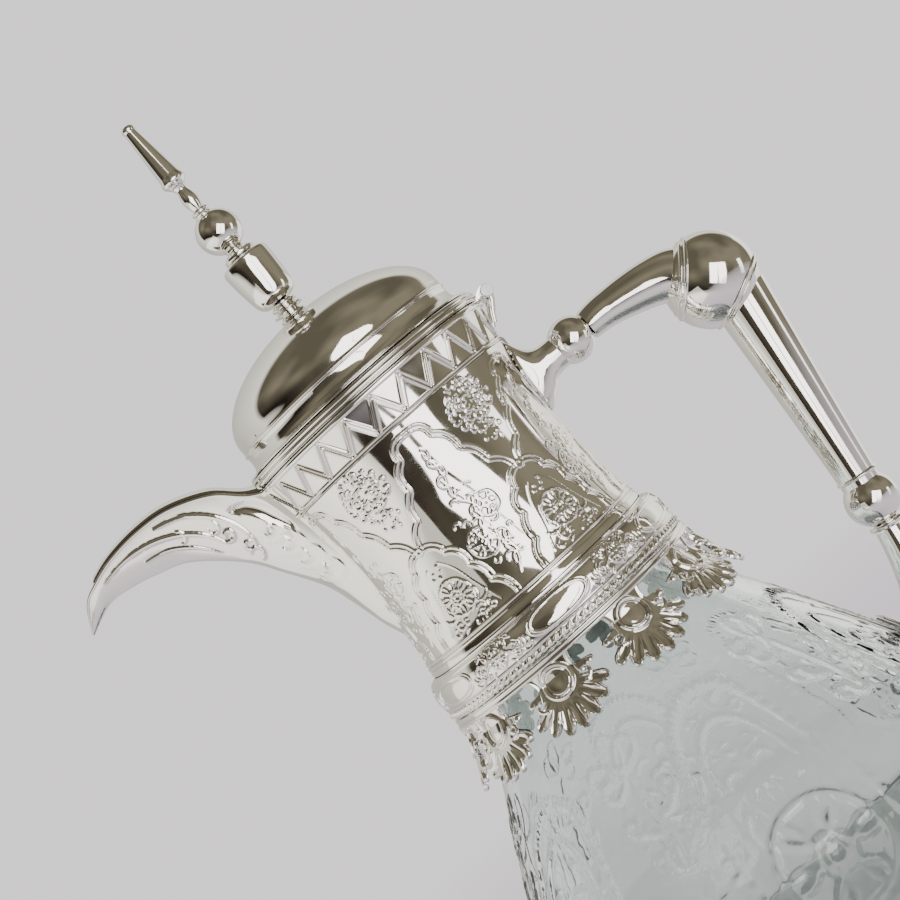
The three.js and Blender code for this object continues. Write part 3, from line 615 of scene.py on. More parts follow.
def emboss(strokes: list[Stroke], x: np.ndarray, z: np.ndarray) -> np.ndarray:
    """The height of an ornament over a grid.

    Args:
        strokes: The ornament's lines.
        x: Where each grid point is, across.
        z: Where each grid point is, upwards.

    Returns:
        The height at each grid point. The tallest line wins where lines cross.
    """
    made = np.zeros(x.shape)
    for stroke in strokes:
        low, high = stroke.path.min(0) - stroke.half, stroke.path.max(0) + stroke.half
        near = np.nonzero((x > low[0]) & (x < high[0]) & (z > low[1]) & (z < high[1]))
        if not near[0].size:
            continue
        point = np.stack([x[near], z[near]], -1)[:, None]
        start, step = stroke.path[:-1], np.diff(stroke.path, axis=0)
        t = ((point - start) * step).sum(-1) / np.maximum((step ** 2).sum(-1), TINY)
        t = np.clip(t, 0, 1)
        far = np.linalg.norm(point - start - t[..., None] * step, axis=-1)
        along = (np.arange(len(step)) + t) / len(step)
        half = stroke.half * (1 - stroke.taper * (2 * along - 1) ** 2)
        rise = stroke.height * np.clip(1 - (far / half).min(1) ** 2, 0, 1)
        made[near] = np.where(np.abs(rise) > np.abs(made[near]), rise, made[near])
    return made


def curl(x: float, z: float, heading: float, length: float, bend: float,
         unbend: float | None = None, steps: int = 14) -> np.ndarray:
    """A line that starts at a place and turns as it goes.

    Args:
        x: Where it starts, across.
        z: Where it starts, upwards.
        heading: The way it sets out, in degrees from +x.
        length: Its length.
        bend: Degrees it turns in each millimetre at its start.
        unbend: The same at its end, if it changes.
        steps: Points on it.

    Returns:
        The line's points.
    """
    s = np.linspace(0, 1, steps)
    last = bend if unbend is None else unbend
    turn = np.radians(heading + length * (bend * s + (last - bend) * s ** 2 / 2))
    step = length / (steps - 1)
    path = np.cumsum(np.column_stack([np.cos(turn), np.sin(turn)]) * step, axis=0)
    return np.array([x, z]) + path - path[0]


def loop(x: float, z: float, heading: float, length: float, width: float, steps: int = 18) -> np.ndarray:
    """A closed petal outline that starts at a place and reaches along a heading."""
    turn = np.linspace(0, TURN, steps)
    out = (1 - np.cos(turn)) / 2 * length
    side = np.sin(turn) * (1 - 0.35 * np.cos(turn)) * width / 2
    way = math.radians(heading)
    return np.column_stack([x + out * math.cos(way) - side * math.sin(way),
                            z + out * math.sin(way) + side * math.cos(way)])


def ring(x: float, z: float, radius: float, steps: int = 16) -> np.ndarray:
    """A closed circle about a place."""
    turn = np.linspace(0, TURN, steps)
    return np.column_stack([x + radius * np.cos(turn), z + radius * np.sin(turn)])


def rosette(x: float, z: float, radius: float, petals: int, half: float, height: float,
            start: float = 0.0) -> list[Stroke]:
    """A flower of looped petals round a bead.

    Args:
        x: Its centre, across.
        z: Its centre, upwards.
        radius: Its reach.
        petals: How many petals.
        half: Half the width of its lines.
        height: How proud they stand.
        start: The heading of the first petal, in degrees.

    Returns:
        The flower's lines.
    """
    made = [Stroke(ring(x, z, radius * 0.18), half * 1.2, height * 1.1)]
    for k in range(petals):
        way = start + 360 * k / petals
        root_x = x + 0.3 * radius * math.cos(math.radians(way))
        root_z = z + 0.3 * radius * math.sin(math.radians(way))
        width = 2.2 * radius * math.sin(math.pi / petals)
        made.append(Stroke(loop(root_x, root_z, way, radius * 0.7, width), half, height))
    return made


def foliage(seed: int, x: float, z: float, wide: float, tall: float, count: int, half: float,
            height: float) -> list[Stroke]:
    """A bunch of short curly leaf strokes that fills an oval.

    Args:
        seed: Picks one arrangement.
        x: The oval's centre, across.
        z: The oval's centre, upwards.
        wide: Half its width.
        tall: Half its height.
        count: How many strokes.
        half: Half the width of each stroke.
        height: How proud they stand.

    Returns:
        The strokes.
    """
    pick = np.random.default_rng(seed)
    made = []
    for k in range(count):
        way = TURN * GOLDEN * k
        far = math.sqrt((k + 0.5) / count)
        heading = math.degrees(way) + pick.uniform(-70, 70)
        length = pick.uniform(1.8, 3.4) * wide / 7
        bend = pick.choice([-1, 1]) * pick.uniform(35, 80) / (wide / 7)
        path = curl(x + wide * far * math.cos(way), z + tall * far * math.sin(way), heading,
                    length, bend, bend * 1.6, 9)
        made.append(Stroke(path, half, height, 0.5))
    return made


def scalloped(points: np.ndarray, scallops: int, depth: float) -> np.ndarray:
    """A line whose stretches bulge to its left between cusps.

    Args:
        points: The smooth line, evenly spaced.
        scallops: How many bulges it has.
        depth: How far each bulges.

    Returns:
        The scalloped line.
    """
    bulge = np.abs(np.sin(np.linspace(0, scallops * math.pi, len(points))))
    return points + lefts(points) * (depth * (bulge ** 0.8 - 0.4))[:, None]


def parallel(line: np.ndarray, distance: float) -> np.ndarray:
    """A line moved to its left by a distance."""
    return line + lefts(line) * distance


def mirrored(strokes: list[Stroke]) -> list[Stroke]:
    """The strokes and their mirror images about x = 0."""
    flip = np.array([-1.0, 1.0])
    return strokes + [Stroke(s.path * flip, s.half, s.height, s.taper) for s in strokes]


# ------------------------------------------------------------------ glass body


@dataclass
class GlassBody:
    """The pressed glass vessel: six arched garlands with a large flower, and sprigs between."""

    foot_radius: float = 64.0
    wall: float = 4.2
    base: float = 9.0
    neck_radius: float = 31.5
    neck_bore: float = 27.5
    lip_z: float = 157.0
    tiles: int = 6
    columns: int = 108
    panel_turn: float = 7.4
    flower_z: float = 42.0
    smooth_z: float = 112.0
    proud: float = 0.52

    def outline(self) -> np.ndarray:
        """The outer outline from the heel to the root of the neck."""
        return spline([(66, 1.5), (70, 8), (76.8, 19), (79, 33), (76.4, 45), (69.8, 57.6),
                       (55, 84.4), (45, 101.6), (38, 113.6), (33.4, 120.8), (31.5, 125.6)], 400)

    def strokes(self) -> list[Stroke]:
        """The lines of one panel and the sprig beside it."""
        arch = spline([(-21, 26), (-20, 45), (-16.5, 66), (-12, 80), (-5.5, 89), (2, 92.5),
                       (8.5, 91), (13, 86), (16.5, 72), (20, 50), (21, 26)], 220)
        rope = evenly(arch, 84)
        made = []
        for k, (here, ahead) in enumerate(zip(rope[:-1], rope[1:])):
            way = math.degrees(math.atan2(*(ahead - here)[::-1])) + 58
            start = here - 1.1 * np.array([math.cos(math.radians(way)), math.sin(math.radians(way))])
            made.append(Stroke(curl(start[0], start[1], way, 2.3, 18 if k % 2 else 12, steps=5),
                               0.75, self.proud, 0.4))
        inner = spline([(-13, 40), (-11.5, 62), (-8, 76), (-2, 83), (4, 83.5), (9.5, 77),
                        (12.5, 62), (13.5, 40)], 60)
        made.append(Stroke(inner, 0.8, self.proud * 0.7, 0.3))
        made += rosette(0, self.flower_z, 14.5, 6, 1.1, self.proud * 1.2, 30)
        made.append(Stroke(ring(0, self.flower_z, 5.2, 24), 0.9, self.proud))
        made += mirrored([
            Stroke(curl(1.5, 60, 70, 12, 8, 26), 0.9, self.proud, 0.4),
            Stroke(curl(6, 58, 100, 9, -12, -34), 0.8, self.proud, 0.5),
            Stroke(curl(2, 70, 60, 7, -14, -30), 0.7, self.proud * 0.8, 0.5),
            Stroke(curl(3, 26, -60, 12, 10, 30), 0.9, self.proud, 0.5),
            Stroke(curl(12, 24, 100, 10, 8, 30), 0.8, self.proud * 0.8, 0.5),
        ])
        made += self.sprig(-23.6, 89)
        return made

    def sprig(self, x: float, z: float) -> list[Stroke]:
        """A four-petalled flower on a curved stem with leaves.

        Args:
            x: The flower's centre, across.
            z: The flower's centre, upwards.

        Returns:
            The sprig's lines.
        """
        thin = 0.6
        made = [Stroke(loop(x, z, way, 9.5, 4.6), thin, self.proud * 0.8) for way in (38, 75, 168, 205)]
        made.append(Stroke(ring(x, z, 0.7), thin, self.proud))
        made.append(Stroke(curl(x, z - 1, -96, 26, 0.6, -2.2, 24), 0.7, self.proud * 0.8, 0.3))
        for side, drop, heading, bend in [(1, 14, -20, 9), (-1, 17, -160, -10), (1, 24, -30, 12),
                                          (-1, 27, -150, -12), (1, 36, -40, 14), (-1, 38, -140, -14)]:
            made.append(Stroke(curl(x - 1.5 + side * 1.2, z - drop, heading, 10, bend, bend * 2.4),
                               0.8, self.proud, 0.6))
            made.append(Stroke(loop(x - 1.5 + side * 5, z - drop + 1, heading + 70 * side, 6, 3.2),
                               thin, self.proud * 0.7))
        return made

    def relief(self, x: np.ndarray, z: np.ndarray) -> np.ndarray:
        """The height of the pressed pattern, fading out at the collar and the heel."""
        pitch = np.abs(x[:, -1:] - x[:, :1]) * self.columns / (self.columns - 1)
        strokes = self.strokes()
        made = emboss(strokes, x, z)
        for side in (-1, 1):
            made = np.maximum(made, emboss(strokes, x + side * pitch, z))
        return made * np.clip((z - 12) / 6, 0, 1) * np.clip((self.smooth_z - z) / 8, 0, 1)

    def build(self, finishes: Finishes) -> None:
        """Makes the glass as one closed skin."""
        outer = self.outline()
        pressed = outer[:, 1] < self.smooth_z
        low, high = evenly(outer[pressed], 126), outer[~pressed][::12]
        body = wrapped(np.vstack([low, high]), self.tiles, self.columns, self.relief,
                       self.panel_turn)
        inner = moved_out(outer[150:], -self.wall)
        inner = evenly(inner[inner[:, 0] > self.neck_bore], 26)[::-1]
        above = eased([(self.neck_radius, 128), (self.neck_radius, self.lip_z),
                       (self.neck_bore, self.lip_z), (self.neck_bore, 124)], 0.8)
        within = np.vstack([above, inner, spline([(60, 14), (56, 10.5), (50, self.base),
                                                  (1, self.base)], 10)])
        cavity = wrapped(within, self.tiles, self.columns, start=self.panel_turn)
        under = wrapped(np.array([(1, 0.6), (40, 0.4), (52, 0.0), (self.foot_radius, 0.0)]),
                        self.tiles, self.columns, start=self.panel_turn)
        skin = Skin()
        skin.grid(np.concatenate([under, body, cavity]))
        finishes.dress(skin.piece("glass_body_pressed", 60), Slot.GLASS, Body.POT, "glass_body")


# ------------------------------------------------------------------ collar


@dataclass
class Spout:
    """The crescent spout cast with the collar, its channel and its side scrolls."""

    tip: float = 103.5
    wall: float = 1.6
    cover_end: float = 93.1
    rim_radius: float = 41.4
    root: float = 30.0
    cover_gap: float = 0.3
    proud: float = 0.5
    rows: int = 250
    half_columns: int = 64

    def __post_init__(self) -> None:
        """Samples the spout's lines."""
        self.top = spline([(30, 207.9), (42.4, 212.9), (51.2, 220.4), (63.1, 225.3), (74, 226.4),
                           (84.8, 225.4), (93.1, 222.9), (98.6, 220.2), (103.5, 213)], 300)
        self.keel = spline([(30, 133.9), (37.8, 153.3), (39.9, 159.5), (42.1, 168.6), (44.8, 177.2),
                            (50.9, 187.7), (57.5, 197.7), (69, 208.1), (78.3, 211.8), (85.8, 213.8),
                            (94, 214.6), (103.5, 210.9)], 300)
        self.width = spline([(30, 15.5), (36, 15), (45, 13.4), (55, 11.6), (65, 9.9), (75, 8.2),
                             (85, 6.5), (93, 4.9), (99, 3), (103.5, 0.9)], 200)

    def top_at(self, x: np.ndarray) -> np.ndarray:
        """Height of the finished top line at a distance from the axis."""
        return np.interp(x, self.top[:, 0], self.top[:, 1])

    def keel_at(self, x: np.ndarray) -> np.ndarray:
        """Height of the keel at a distance from the axis."""
        return np.interp(x, self.keel[:, 0], self.keel[:, 1])

    def width_at(self, x: np.ndarray) -> np.ndarray:
        """Half width at a distance from the axis."""
        return np.interp(x, self.width[:, 0], self.width[:, 1])

    def cover_at(self, x: np.ndarray) -> np.ndarray:
        """Thickness of the lid's cover at a distance from the axis."""
        along = np.clip((x - self.rim_radius) / (self.cover_end - self.rim_radius), 0, 1)
        return 2.4 - 1.4 * along

    def casting_at(self, x: np.ndarray) -> np.ndarray:
        """Height of the casting's top edge, below the cover."""
        return self.top_at(x) - self.cover_at(x) - self.cover_gap

    @staticmethod
    def section(rise: np.ndarray) -> np.ndarray:
        """Share of the half width at a share of the height above the keel."""
        return np.sqrt(rise) * (1.12 - 0.12 * rise)

    def strokes(self) -> list[Stroke]:
        """The scrolls on one side, as lines of [distance, z]."""
        made = [
            Stroke(spline([(91, 219.6), (83, 220.6), (74, 219.4), (66, 215.8), (60, 210.5),
                           (57.4, 205.6)], 40), 0.85, self.proud, 0.55),
            Stroke(curl(57.4, 205.8, -110, 9, -22, -52), 0.7, self.proud, 0.3),
            Stroke(spline([(78, 216.4), (71, 214.6), (64.5, 209.8), (60.2, 204.2)], 26), 0.6,
                   self.proud * 0.8, 0.6),
            Stroke(spline([(70, 221.5), (62, 219), (55.5, 213.5), (51.5, 206.5), (50.5, 200)], 30),
                   0.75, self.proud, 0.5),
            Stroke(curl(50.6, 200.4, -85, 8, 26, 50), 0.6, self.proud, 0.3),
            Stroke(curl(56, 212, -130, 7, 24, 46), 0.55, self.proud * 0.8, 0.5),
            Stroke(curl(66, 217, -160, 6, 20, 40), 0.5, self.proud * 0.7, 0.5),
            Stroke(curl(52.6, 194.6, 160, 8, -14, -40), 0.6, self.proud, 0.5),
        ]
        for k in range(4):  # a row of arched leaf lobes climbs the root
            x, z = 48.2 - 1.45 * k, 197.5 - 6.2 * k
            made.append(Stroke(loop(x, z, 168 + 4 * k, 7.2, 4.4), 0.36, self.proud * 0.4))
            made.append(Stroke(curl(x - 0.4, z + 2.0, 250, 5.2, -34, steps=8), 0.5,
                               self.proud * 0.9, 0.6))
        # the deep hollow under the rim where the spout leaves the collar
        hollow = spline([(50, 210.4), (46.4, 209.0), (43.6, 205.4), (42.0, 201.2), (40.2, 196.2)], 24)
        made.append(Stroke(hollow, 2.3, -1.0, 0.6))
        return made

    def open_at(self, places: np.ndarray) -> np.ndarray:
        """Whether points of the collar's wall lie in the spout's channel.

        Args:
            places: Points with xyz last.

        Returns:
            True where the wall is cut away.
        """
        x, y, z = -places[..., 0], places[..., 1], places[..., 2]
        keel = self.keel_at(x) + self.wall * 0.9
        rise = np.clip((z - keel) / np.maximum(self.casting_at(x) - keel, 1), 0, 1)
        half = (self.width_at(x) - self.wall * 0.55) * self.section(rise)
        return (x > 20) & (z > keel) & (np.abs(y) < half)

    def build(self, finishes: Finishes, wall_radius: Callable[[np.ndarray], np.ndarray]) -> None:
        """Makes the spout, rooted in the middle of the collar's wall.

        Args:
            finishes: Dresses the piece.
            wall_radius: The collar's radius at a height.
        """
        turn = np.linspace(-1, 1, 2 * self.half_columns + 1)
        rise = np.abs(turn) ** 1.6
        side = np.sign(turn) * self.section(rise)
        x = np.linspace(self.root, self.tip, 900)[:, None] + np.zeros((1, len(turn)))
        keel, top = self.keel_at(x), self.casting_at(x)
        y, z = self.width_at(x) * side, keel + (top - keel) * rise
        clear = np.hypot(x, y) - (wall_radius(z) - 0.9)
        first = np.argmax(clear > 0, axis=0)
        share = np.linspace(0, 1, self.rows)[:, None]
        start = np.take_along_axis(x, first[None], 0)
        x = start + (self.tip - start) * share
        keel, top = self.keel_at(x), self.casting_at(x)
        y, z = self.width_at(x) * side, keel + (top - keel) * rise
        outer = np.stack([-x, y, z], -1)
        along, across = np.gradient(outer, axis=0), np.gradient(outer, axis=1)
        normal = np.cross(along, across)
        normal /= np.maximum(np.linalg.norm(normal, axis=-1, keepdims=True), TINY)
        away = outer - np.stack([-x, np.zeros_like(x), (keel + top) / 2], -1)
        normal *= np.where((normal * away).sum(-1) < 0, -1, 1)[..., None]
        edge = np.clip((1 - rise) / 0.06, 0, 1)
        relief = emboss(self.strokes(), x, z) * edge
        thick = np.minimum(self.wall, 0.45 * self.width_at(x))
        skin = Skin()
        skin.sheet(outer + normal * relief[..., None], outer - normal * thick[..., None])
        # a rolled bead stiffens the top edge on both sides of the channel
        for mark in (0, -1):
            bead = outer[4:, mark] + np.array([0, 0.3 * np.sign(turn[mark]), -0.5])
            skin.grid(self.bead(bead, 0.62))
        skin.plated(finishes, "spout_crescent", Body.POT, "collar_shell")

    @staticmethod
    def bead(path: np.ndarray, radius: float, sides: int = 10) -> np.ndarray:
        """Rings of a thin round bead along a path of xyz points."""
        along, turn = headings(path), round_angles(sides)
        up = np.cross(along, [0.0, 1.0, 0.0])
        side = np.cross(up, along)
        taper = np.minimum(1, np.linspace(3, 0.5, len(path)))[:, None, None] * radius
        return path[:, None] + taper * (np.cos(turn)[None, :, None] * up[:, None]
                                        + np.sin(turn)[None, :, None] * side[:, None])


@dataclass
class Collar:
    """The plated collar: a border of triangles above six medallions of flowers and scrolls."""

    wall: float = 1.8
    sleeve_radius: float = 38.9
    sleeve_z: float = 124.9
    split_z: float = 196.0
    rim_z: float = 208.9
    lip_radius: float = 42.9
    triangles: int = 26
    medallions: int = 6
    node_z: float = 166.8
    bottom_z: float = 141.7
    waist: float = 36.9
    border_radius: float = 40.4
    columns: int = 930
    border_columns: int = 38
    proud: float = 0.3

    def outline(self) -> np.ndarray:
        """The outer outline from the groove to below the lip."""
        return spline([(39.3, 137.7), (37.5, 145.7), (36.5, 160), (36.8, 176), (39.6, 197),
                       (41.4, 207.1)], 400)

    def radius_at(self, z: np.ndarray) -> np.ndarray:
        """The collar's outer radius at a height."""
        line = self.outline()
        return np.interp(z, line[:, 1], line[:, 0])

    def medallion(self) -> list[Stroke]:
        """The scalloped double outline of one medallion, with a finer line inside its foot."""
        half = self.half_width
        upper = spline([(0, 194.2), (4.4, 191.9), (7.4, 187.2), (9.7, 182.0), (12.5, 176.6),
                        (15.7, 171.8), (half, self.node_z)], 120)
        lower = spline([(half, self.node_z), (14.6, 163.7), (11.2, 158.6), (9.0, 151.2), (6.2, 144),
                        (5.0, self.bottom_z)], 120)
        made = []
        for quarter, side in ((evenly(upper, 110), 1), (evenly(lower, 110), -1)):
            line = scalloped(quarter, 4, side * 1.3)
            made.append(Stroke(line, 0.44, self.proud))
            made.append(Stroke(parallel(line, -1.3), 0.3, self.proud * 0.75))
        made.append(Stroke(ring(half - 0.1, self.node_z, 0.9), 0.5, self.proud * 1.1))
        made.append(Stroke(parallel(evenly(lower, 60), 3.4)[10:-6], 0.24, self.proud * 0.45))
        return mirrored(made)

    @property
    def half_width(self) -> float:
        """Half the width of a medallion's tile at the waist."""
        return math.pi / self.medallions * self.waist

    def bouquet(self) -> list[Stroke]:
        """The roses and leaf scrolls inside a medallion."""
        proud, fine = self.proud * 0.65, 0.36
        made = rosette(-3.2, 157.6, 4.2, 6, fine, proud, 12)
        made += rosette(-3.2, 157.6, 2.3, 4, fine, proud, 40)
        made += rosette(4.4, 164.8, 3.4, 5, fine, proud, 0)
        stem = spline([(-1, 145), (2.4, 151.5), (-1, 158.5), (2.0, 165.5), (-1.2, 172), (0.8, 178.5),
                       (0, 185)], 120)
        made.append(Stroke(stem, fine, proud))
        for k, (x, z) in enumerate(stem[6::9]):
            side, reach = (-1) ** k, 8.4 - 0.34 * k
            made.append(Stroke(curl(x, z, 90 - 52 * side, reach, side * 6, side * 50), fine, proud,
                               0.2))
            made.append(Stroke(curl(x, z, 90 + 24 * side, reach * 0.5, -side * 20), fine + 0.1, proud,
                               0.5))
        made += foliage(11, 0.4, 160.4, 9.0, 13.0, 12, fine, proud)
        return made

    def upper_spray(self, x: float) -> list[Stroke]:
        """The dense spray between two medallions' tops."""
        made = foliage(21, x, 188.2, 7.0, 6.6, 64, 0.34, self.proud)
        made += foliage(22, x + 0.4, 179.2, 3.4, 3.6, 14, 0.34, self.proud)
        return made

    def lower_spray(self, x: float) -> list[Stroke]:
        """The chrysanthemum and leaves between two medallions' feet."""
        proud = self.proud * 0.9
        made = rosette(x, 151.0, 5.2, 8, 0.36, proud, 8)
        made.append(Stroke(ring(x, 151.0, 2.1), 0.36, proud))
        for side in (-1, 1):
            for heading, reach, bend in [(24, 6.0, 12), (-8, 6.4, -16), (56, 5.4, 20), (-32, 5, 10)]:
                way = heading if side > 0 else 180 - heading
                made.append(Stroke(curl(x + side * 3.9, 146.8, way, reach, side * bend,
                                        side * bend * 3), 0.4, proud, 0.5))
        made += foliage(23, x, 143.6, 8.6, 1.6, 12, 0.36, proud)
        made += foliage(24, x, 159.0, 2.6, 2.0, 5, 0.36, proud)
        return made

    @staticmethod
    def scaled(x: np.ndarray, half: float) -> np.ndarray:
        """Distances beside a tile's middle, stretched so that the tile is as wide at every height."""
        return x * (half / np.abs(x[:, -1:])) * (1 - 0.5 / x.shape[1])

    def field_relief(self, x: np.ndarray, z: np.ndarray) -> np.ndarray:
        """The height of the medallions and sprays over one tile."""
        half = self.half_width
        scaled = self.scaled(x, half)
        strokes = self.medallion() + self.bouquet()
        for side in (-half, half):
            strokes = strokes + self.upper_spray(side) + self.lower_spray(side)
        made = emboss(strokes, scaled, z)
        ridges = [Stroke(np.array([(-40.0, at), (40.0, at)]), 0.4, 0.45) for at in (139.6, 141.0)]
        bands = emboss(ridges, scaled, z)
        return np.maximum(made * np.clip((z - 141.2) / 0.8, 0, 1), bands)

    def border_relief(self, x: np.ndarray, z: np.ndarray) -> np.ndarray:
        """The height of one triangle of the border, with its double ridges."""
        half = math.pi / self.triangles * self.border_radius
        side = np.abs(self.scaled(x, half))
        slant = np.array([(0.0, 206.4), (half, 198.0)])
        lines = [
            Stroke(parallel(slant, 0.62), 0.32, 0.42),
            Stroke(parallel(slant, -0.62), 0.32, 0.42),
            Stroke(slant, 0.4, -0.12),
            Stroke(np.array([(-1.0, 197.2), (half + 1, 197.2)]), 0.36, 0.42),
            Stroke(np.array([(-1.0, 196.4), (half + 1, 196.4)]), 0.22, 0.2),
        ]
        return emboss(lines, side, z)

    def ringed(self, name: str, outer: np.ndarray, inner: np.ndarray, spout: Spout,
               finishes: Finishes) -> None:
        """Makes one ring of the collar, cut away where the spout's channel passes.

        Args:
            name: The piece's name.
            outer: Its outer points as rows, columns, xyz.
            inner: Its inner points, running back down.
            spout: The spout whose channel cuts it.
            finishes: Dresses the piece.
        """
        places = np.concatenate([outer, inner])
        middle = (places + np.roll(places, -1, 0) + np.roll(places, -1, 1)
                  + np.roll(places, (-1, -1), (0, 1))) / 4
        skin = Skin()
        skin.grid(places, wrap_rows=True, keep=~spout.open_at(middle))
        skin.plated(finishes, name, Body.POT, "collar_shell")

    def build(self, finishes: Finishes, spout: Spout) -> None:
        """Makes the collar's field and its rim."""
        line = self.outline()
        field_line = evenly(line[line[:, 1] <= self.split_z], 230)
        sleeve = eased([(self.sleeve_radius, self.sleeve_z), (self.sleeve_radius, 137.0)], 0.2)
        columns = self.columns // self.medallions
        outer = np.concatenate([wrapped(sleeve, self.medallions, columns),
                                wrapped(field_line, self.medallions, columns, self.field_relief)])
        back = evenly(moved_out(np.vstack([sleeve, field_line]), -self.wall), 30)[::-1]
        self.ringed("collar_field", outer, wrapped(back, self.medallions, columns), spout, finishes)
        rim_line = evenly(line[line[:, 1] > self.split_z], 50)
        lip = eased([(41.4, 207.1), (42.5, 207.1), (self.lip_radius, 207.6),
                     (self.lip_radius, 208.4), (42.4, self.rim_z), (39.6, self.rim_z)], 0.35)
        columns = self.border_columns
        border = np.concatenate([wrapped(rim_line, self.triangles, columns, self.border_relief),
                                 wrapped(lip, self.triangles, columns)])
        back = evenly(moved_out(rim_line, -self.wall), 12)[::-1]
        self.ringed("collar_rim", border, wrapped(back, self.triangles, columns), spout, finishes)


# ------------------------------------------------------------------ belt and skirt


@dataclass
class Belt:
    """The bulging belt below the collar: scrolls between plain ovals, above a rope bead."""

    inner: float = 39.2
    bulge: float = 42.7
    bottom: float = 124.4
    top: float = 136.9
    tiles: int = 6
    columns: int = 230
    middle_z: float = 131.8
    rope_beads: int = 18
    proud: float = 0.28

    def strokes(self) -> list[Stroke]:
        """The lines of one tile."""
        half = math.pi / self.tiles * self.bulge
        turn = np.linspace(0, TURN, 60)
        oval = np.column_stack([9.6 * np.sign(np.cos(turn)) * np.abs(np.cos(turn)) ** 0.7,
                                self.middle_z + 3.1 * np.sin(turn)])
        around = oval + (oval - [0, self.middle_z]) * 0.12
        made = [Stroke(oval, 0.42, self.proud), Stroke(around, 0.3, self.proud * 0.7)]
        sprays = foliage(31, half, 131.7, 10.6, 3.4, 40, 0.34, self.proud)
        sprays += rosette(half, self.middle_z, 2.8, 6, 0.34, self.proud * 1.1)
        sprays += [Stroke(curl(half + 3 * side, self.middle_z, 90 + 60 * side, 8, -side * 18,
                               -side * 60), 0.36, self.proud, 0.3) for side in (-1, 1)]
        made += mirrored(sprays)
        made.append(Stroke(np.array([(-30.0, 127.5), (30.0, 127.5)]), 0.3, 0.3))
        made.append(Stroke(np.array([(-30.0, 135.6), (30.0, 135.6)]), 0.26, 0.24))
        for k in range(-self.rope_beads // 2, self.rope_beads // 2 + 1):
            x = (k + 0.5) * 2 * half / self.rope_beads
            made.append(Stroke(curl(x - 0.7, 125.3, 35, 1.9, 0, steps=4), 0.55, 0.45, 0.35))
        return made

    def build(self, finishes: Finishes) -> None:
        """Makes the belt as one closed ring."""
        face = eased([(self.bulge - 0.4, self.bottom), (self.bulge + 0.3, 125.3),
                      (self.bulge - 0.25, 126.7), (self.bulge + 0.1, 127.6), (self.bulge + 0.35, 130),
                      (self.bulge + 0.1, 132.5), (self.bulge - 0.7, 135), (self.bulge - 1.9, 136.4),
                      (self.inner + 0.2, self.top)], 0.9)
        strokes, fade = self.strokes(), 0.6
        outer = wrapped(evenly(face, 72), self.tiles, self.columns,
                        lambda x, z: emboss(strokes, x, z) * np.clip((self.top - fade - z) / fade, 0, 1))
        back = np.array([(self.inner, self.top), (self.inner, 130), (self.inner, self.bottom)])
        skin = Skin()
        skin.grid(np.concatenate([outer, wrapped(back, self.tiles, self.columns)]), wrap_rows=True)
        skin.plated(finishes, "belt_scrolled", Body.POT, "collar_belt")


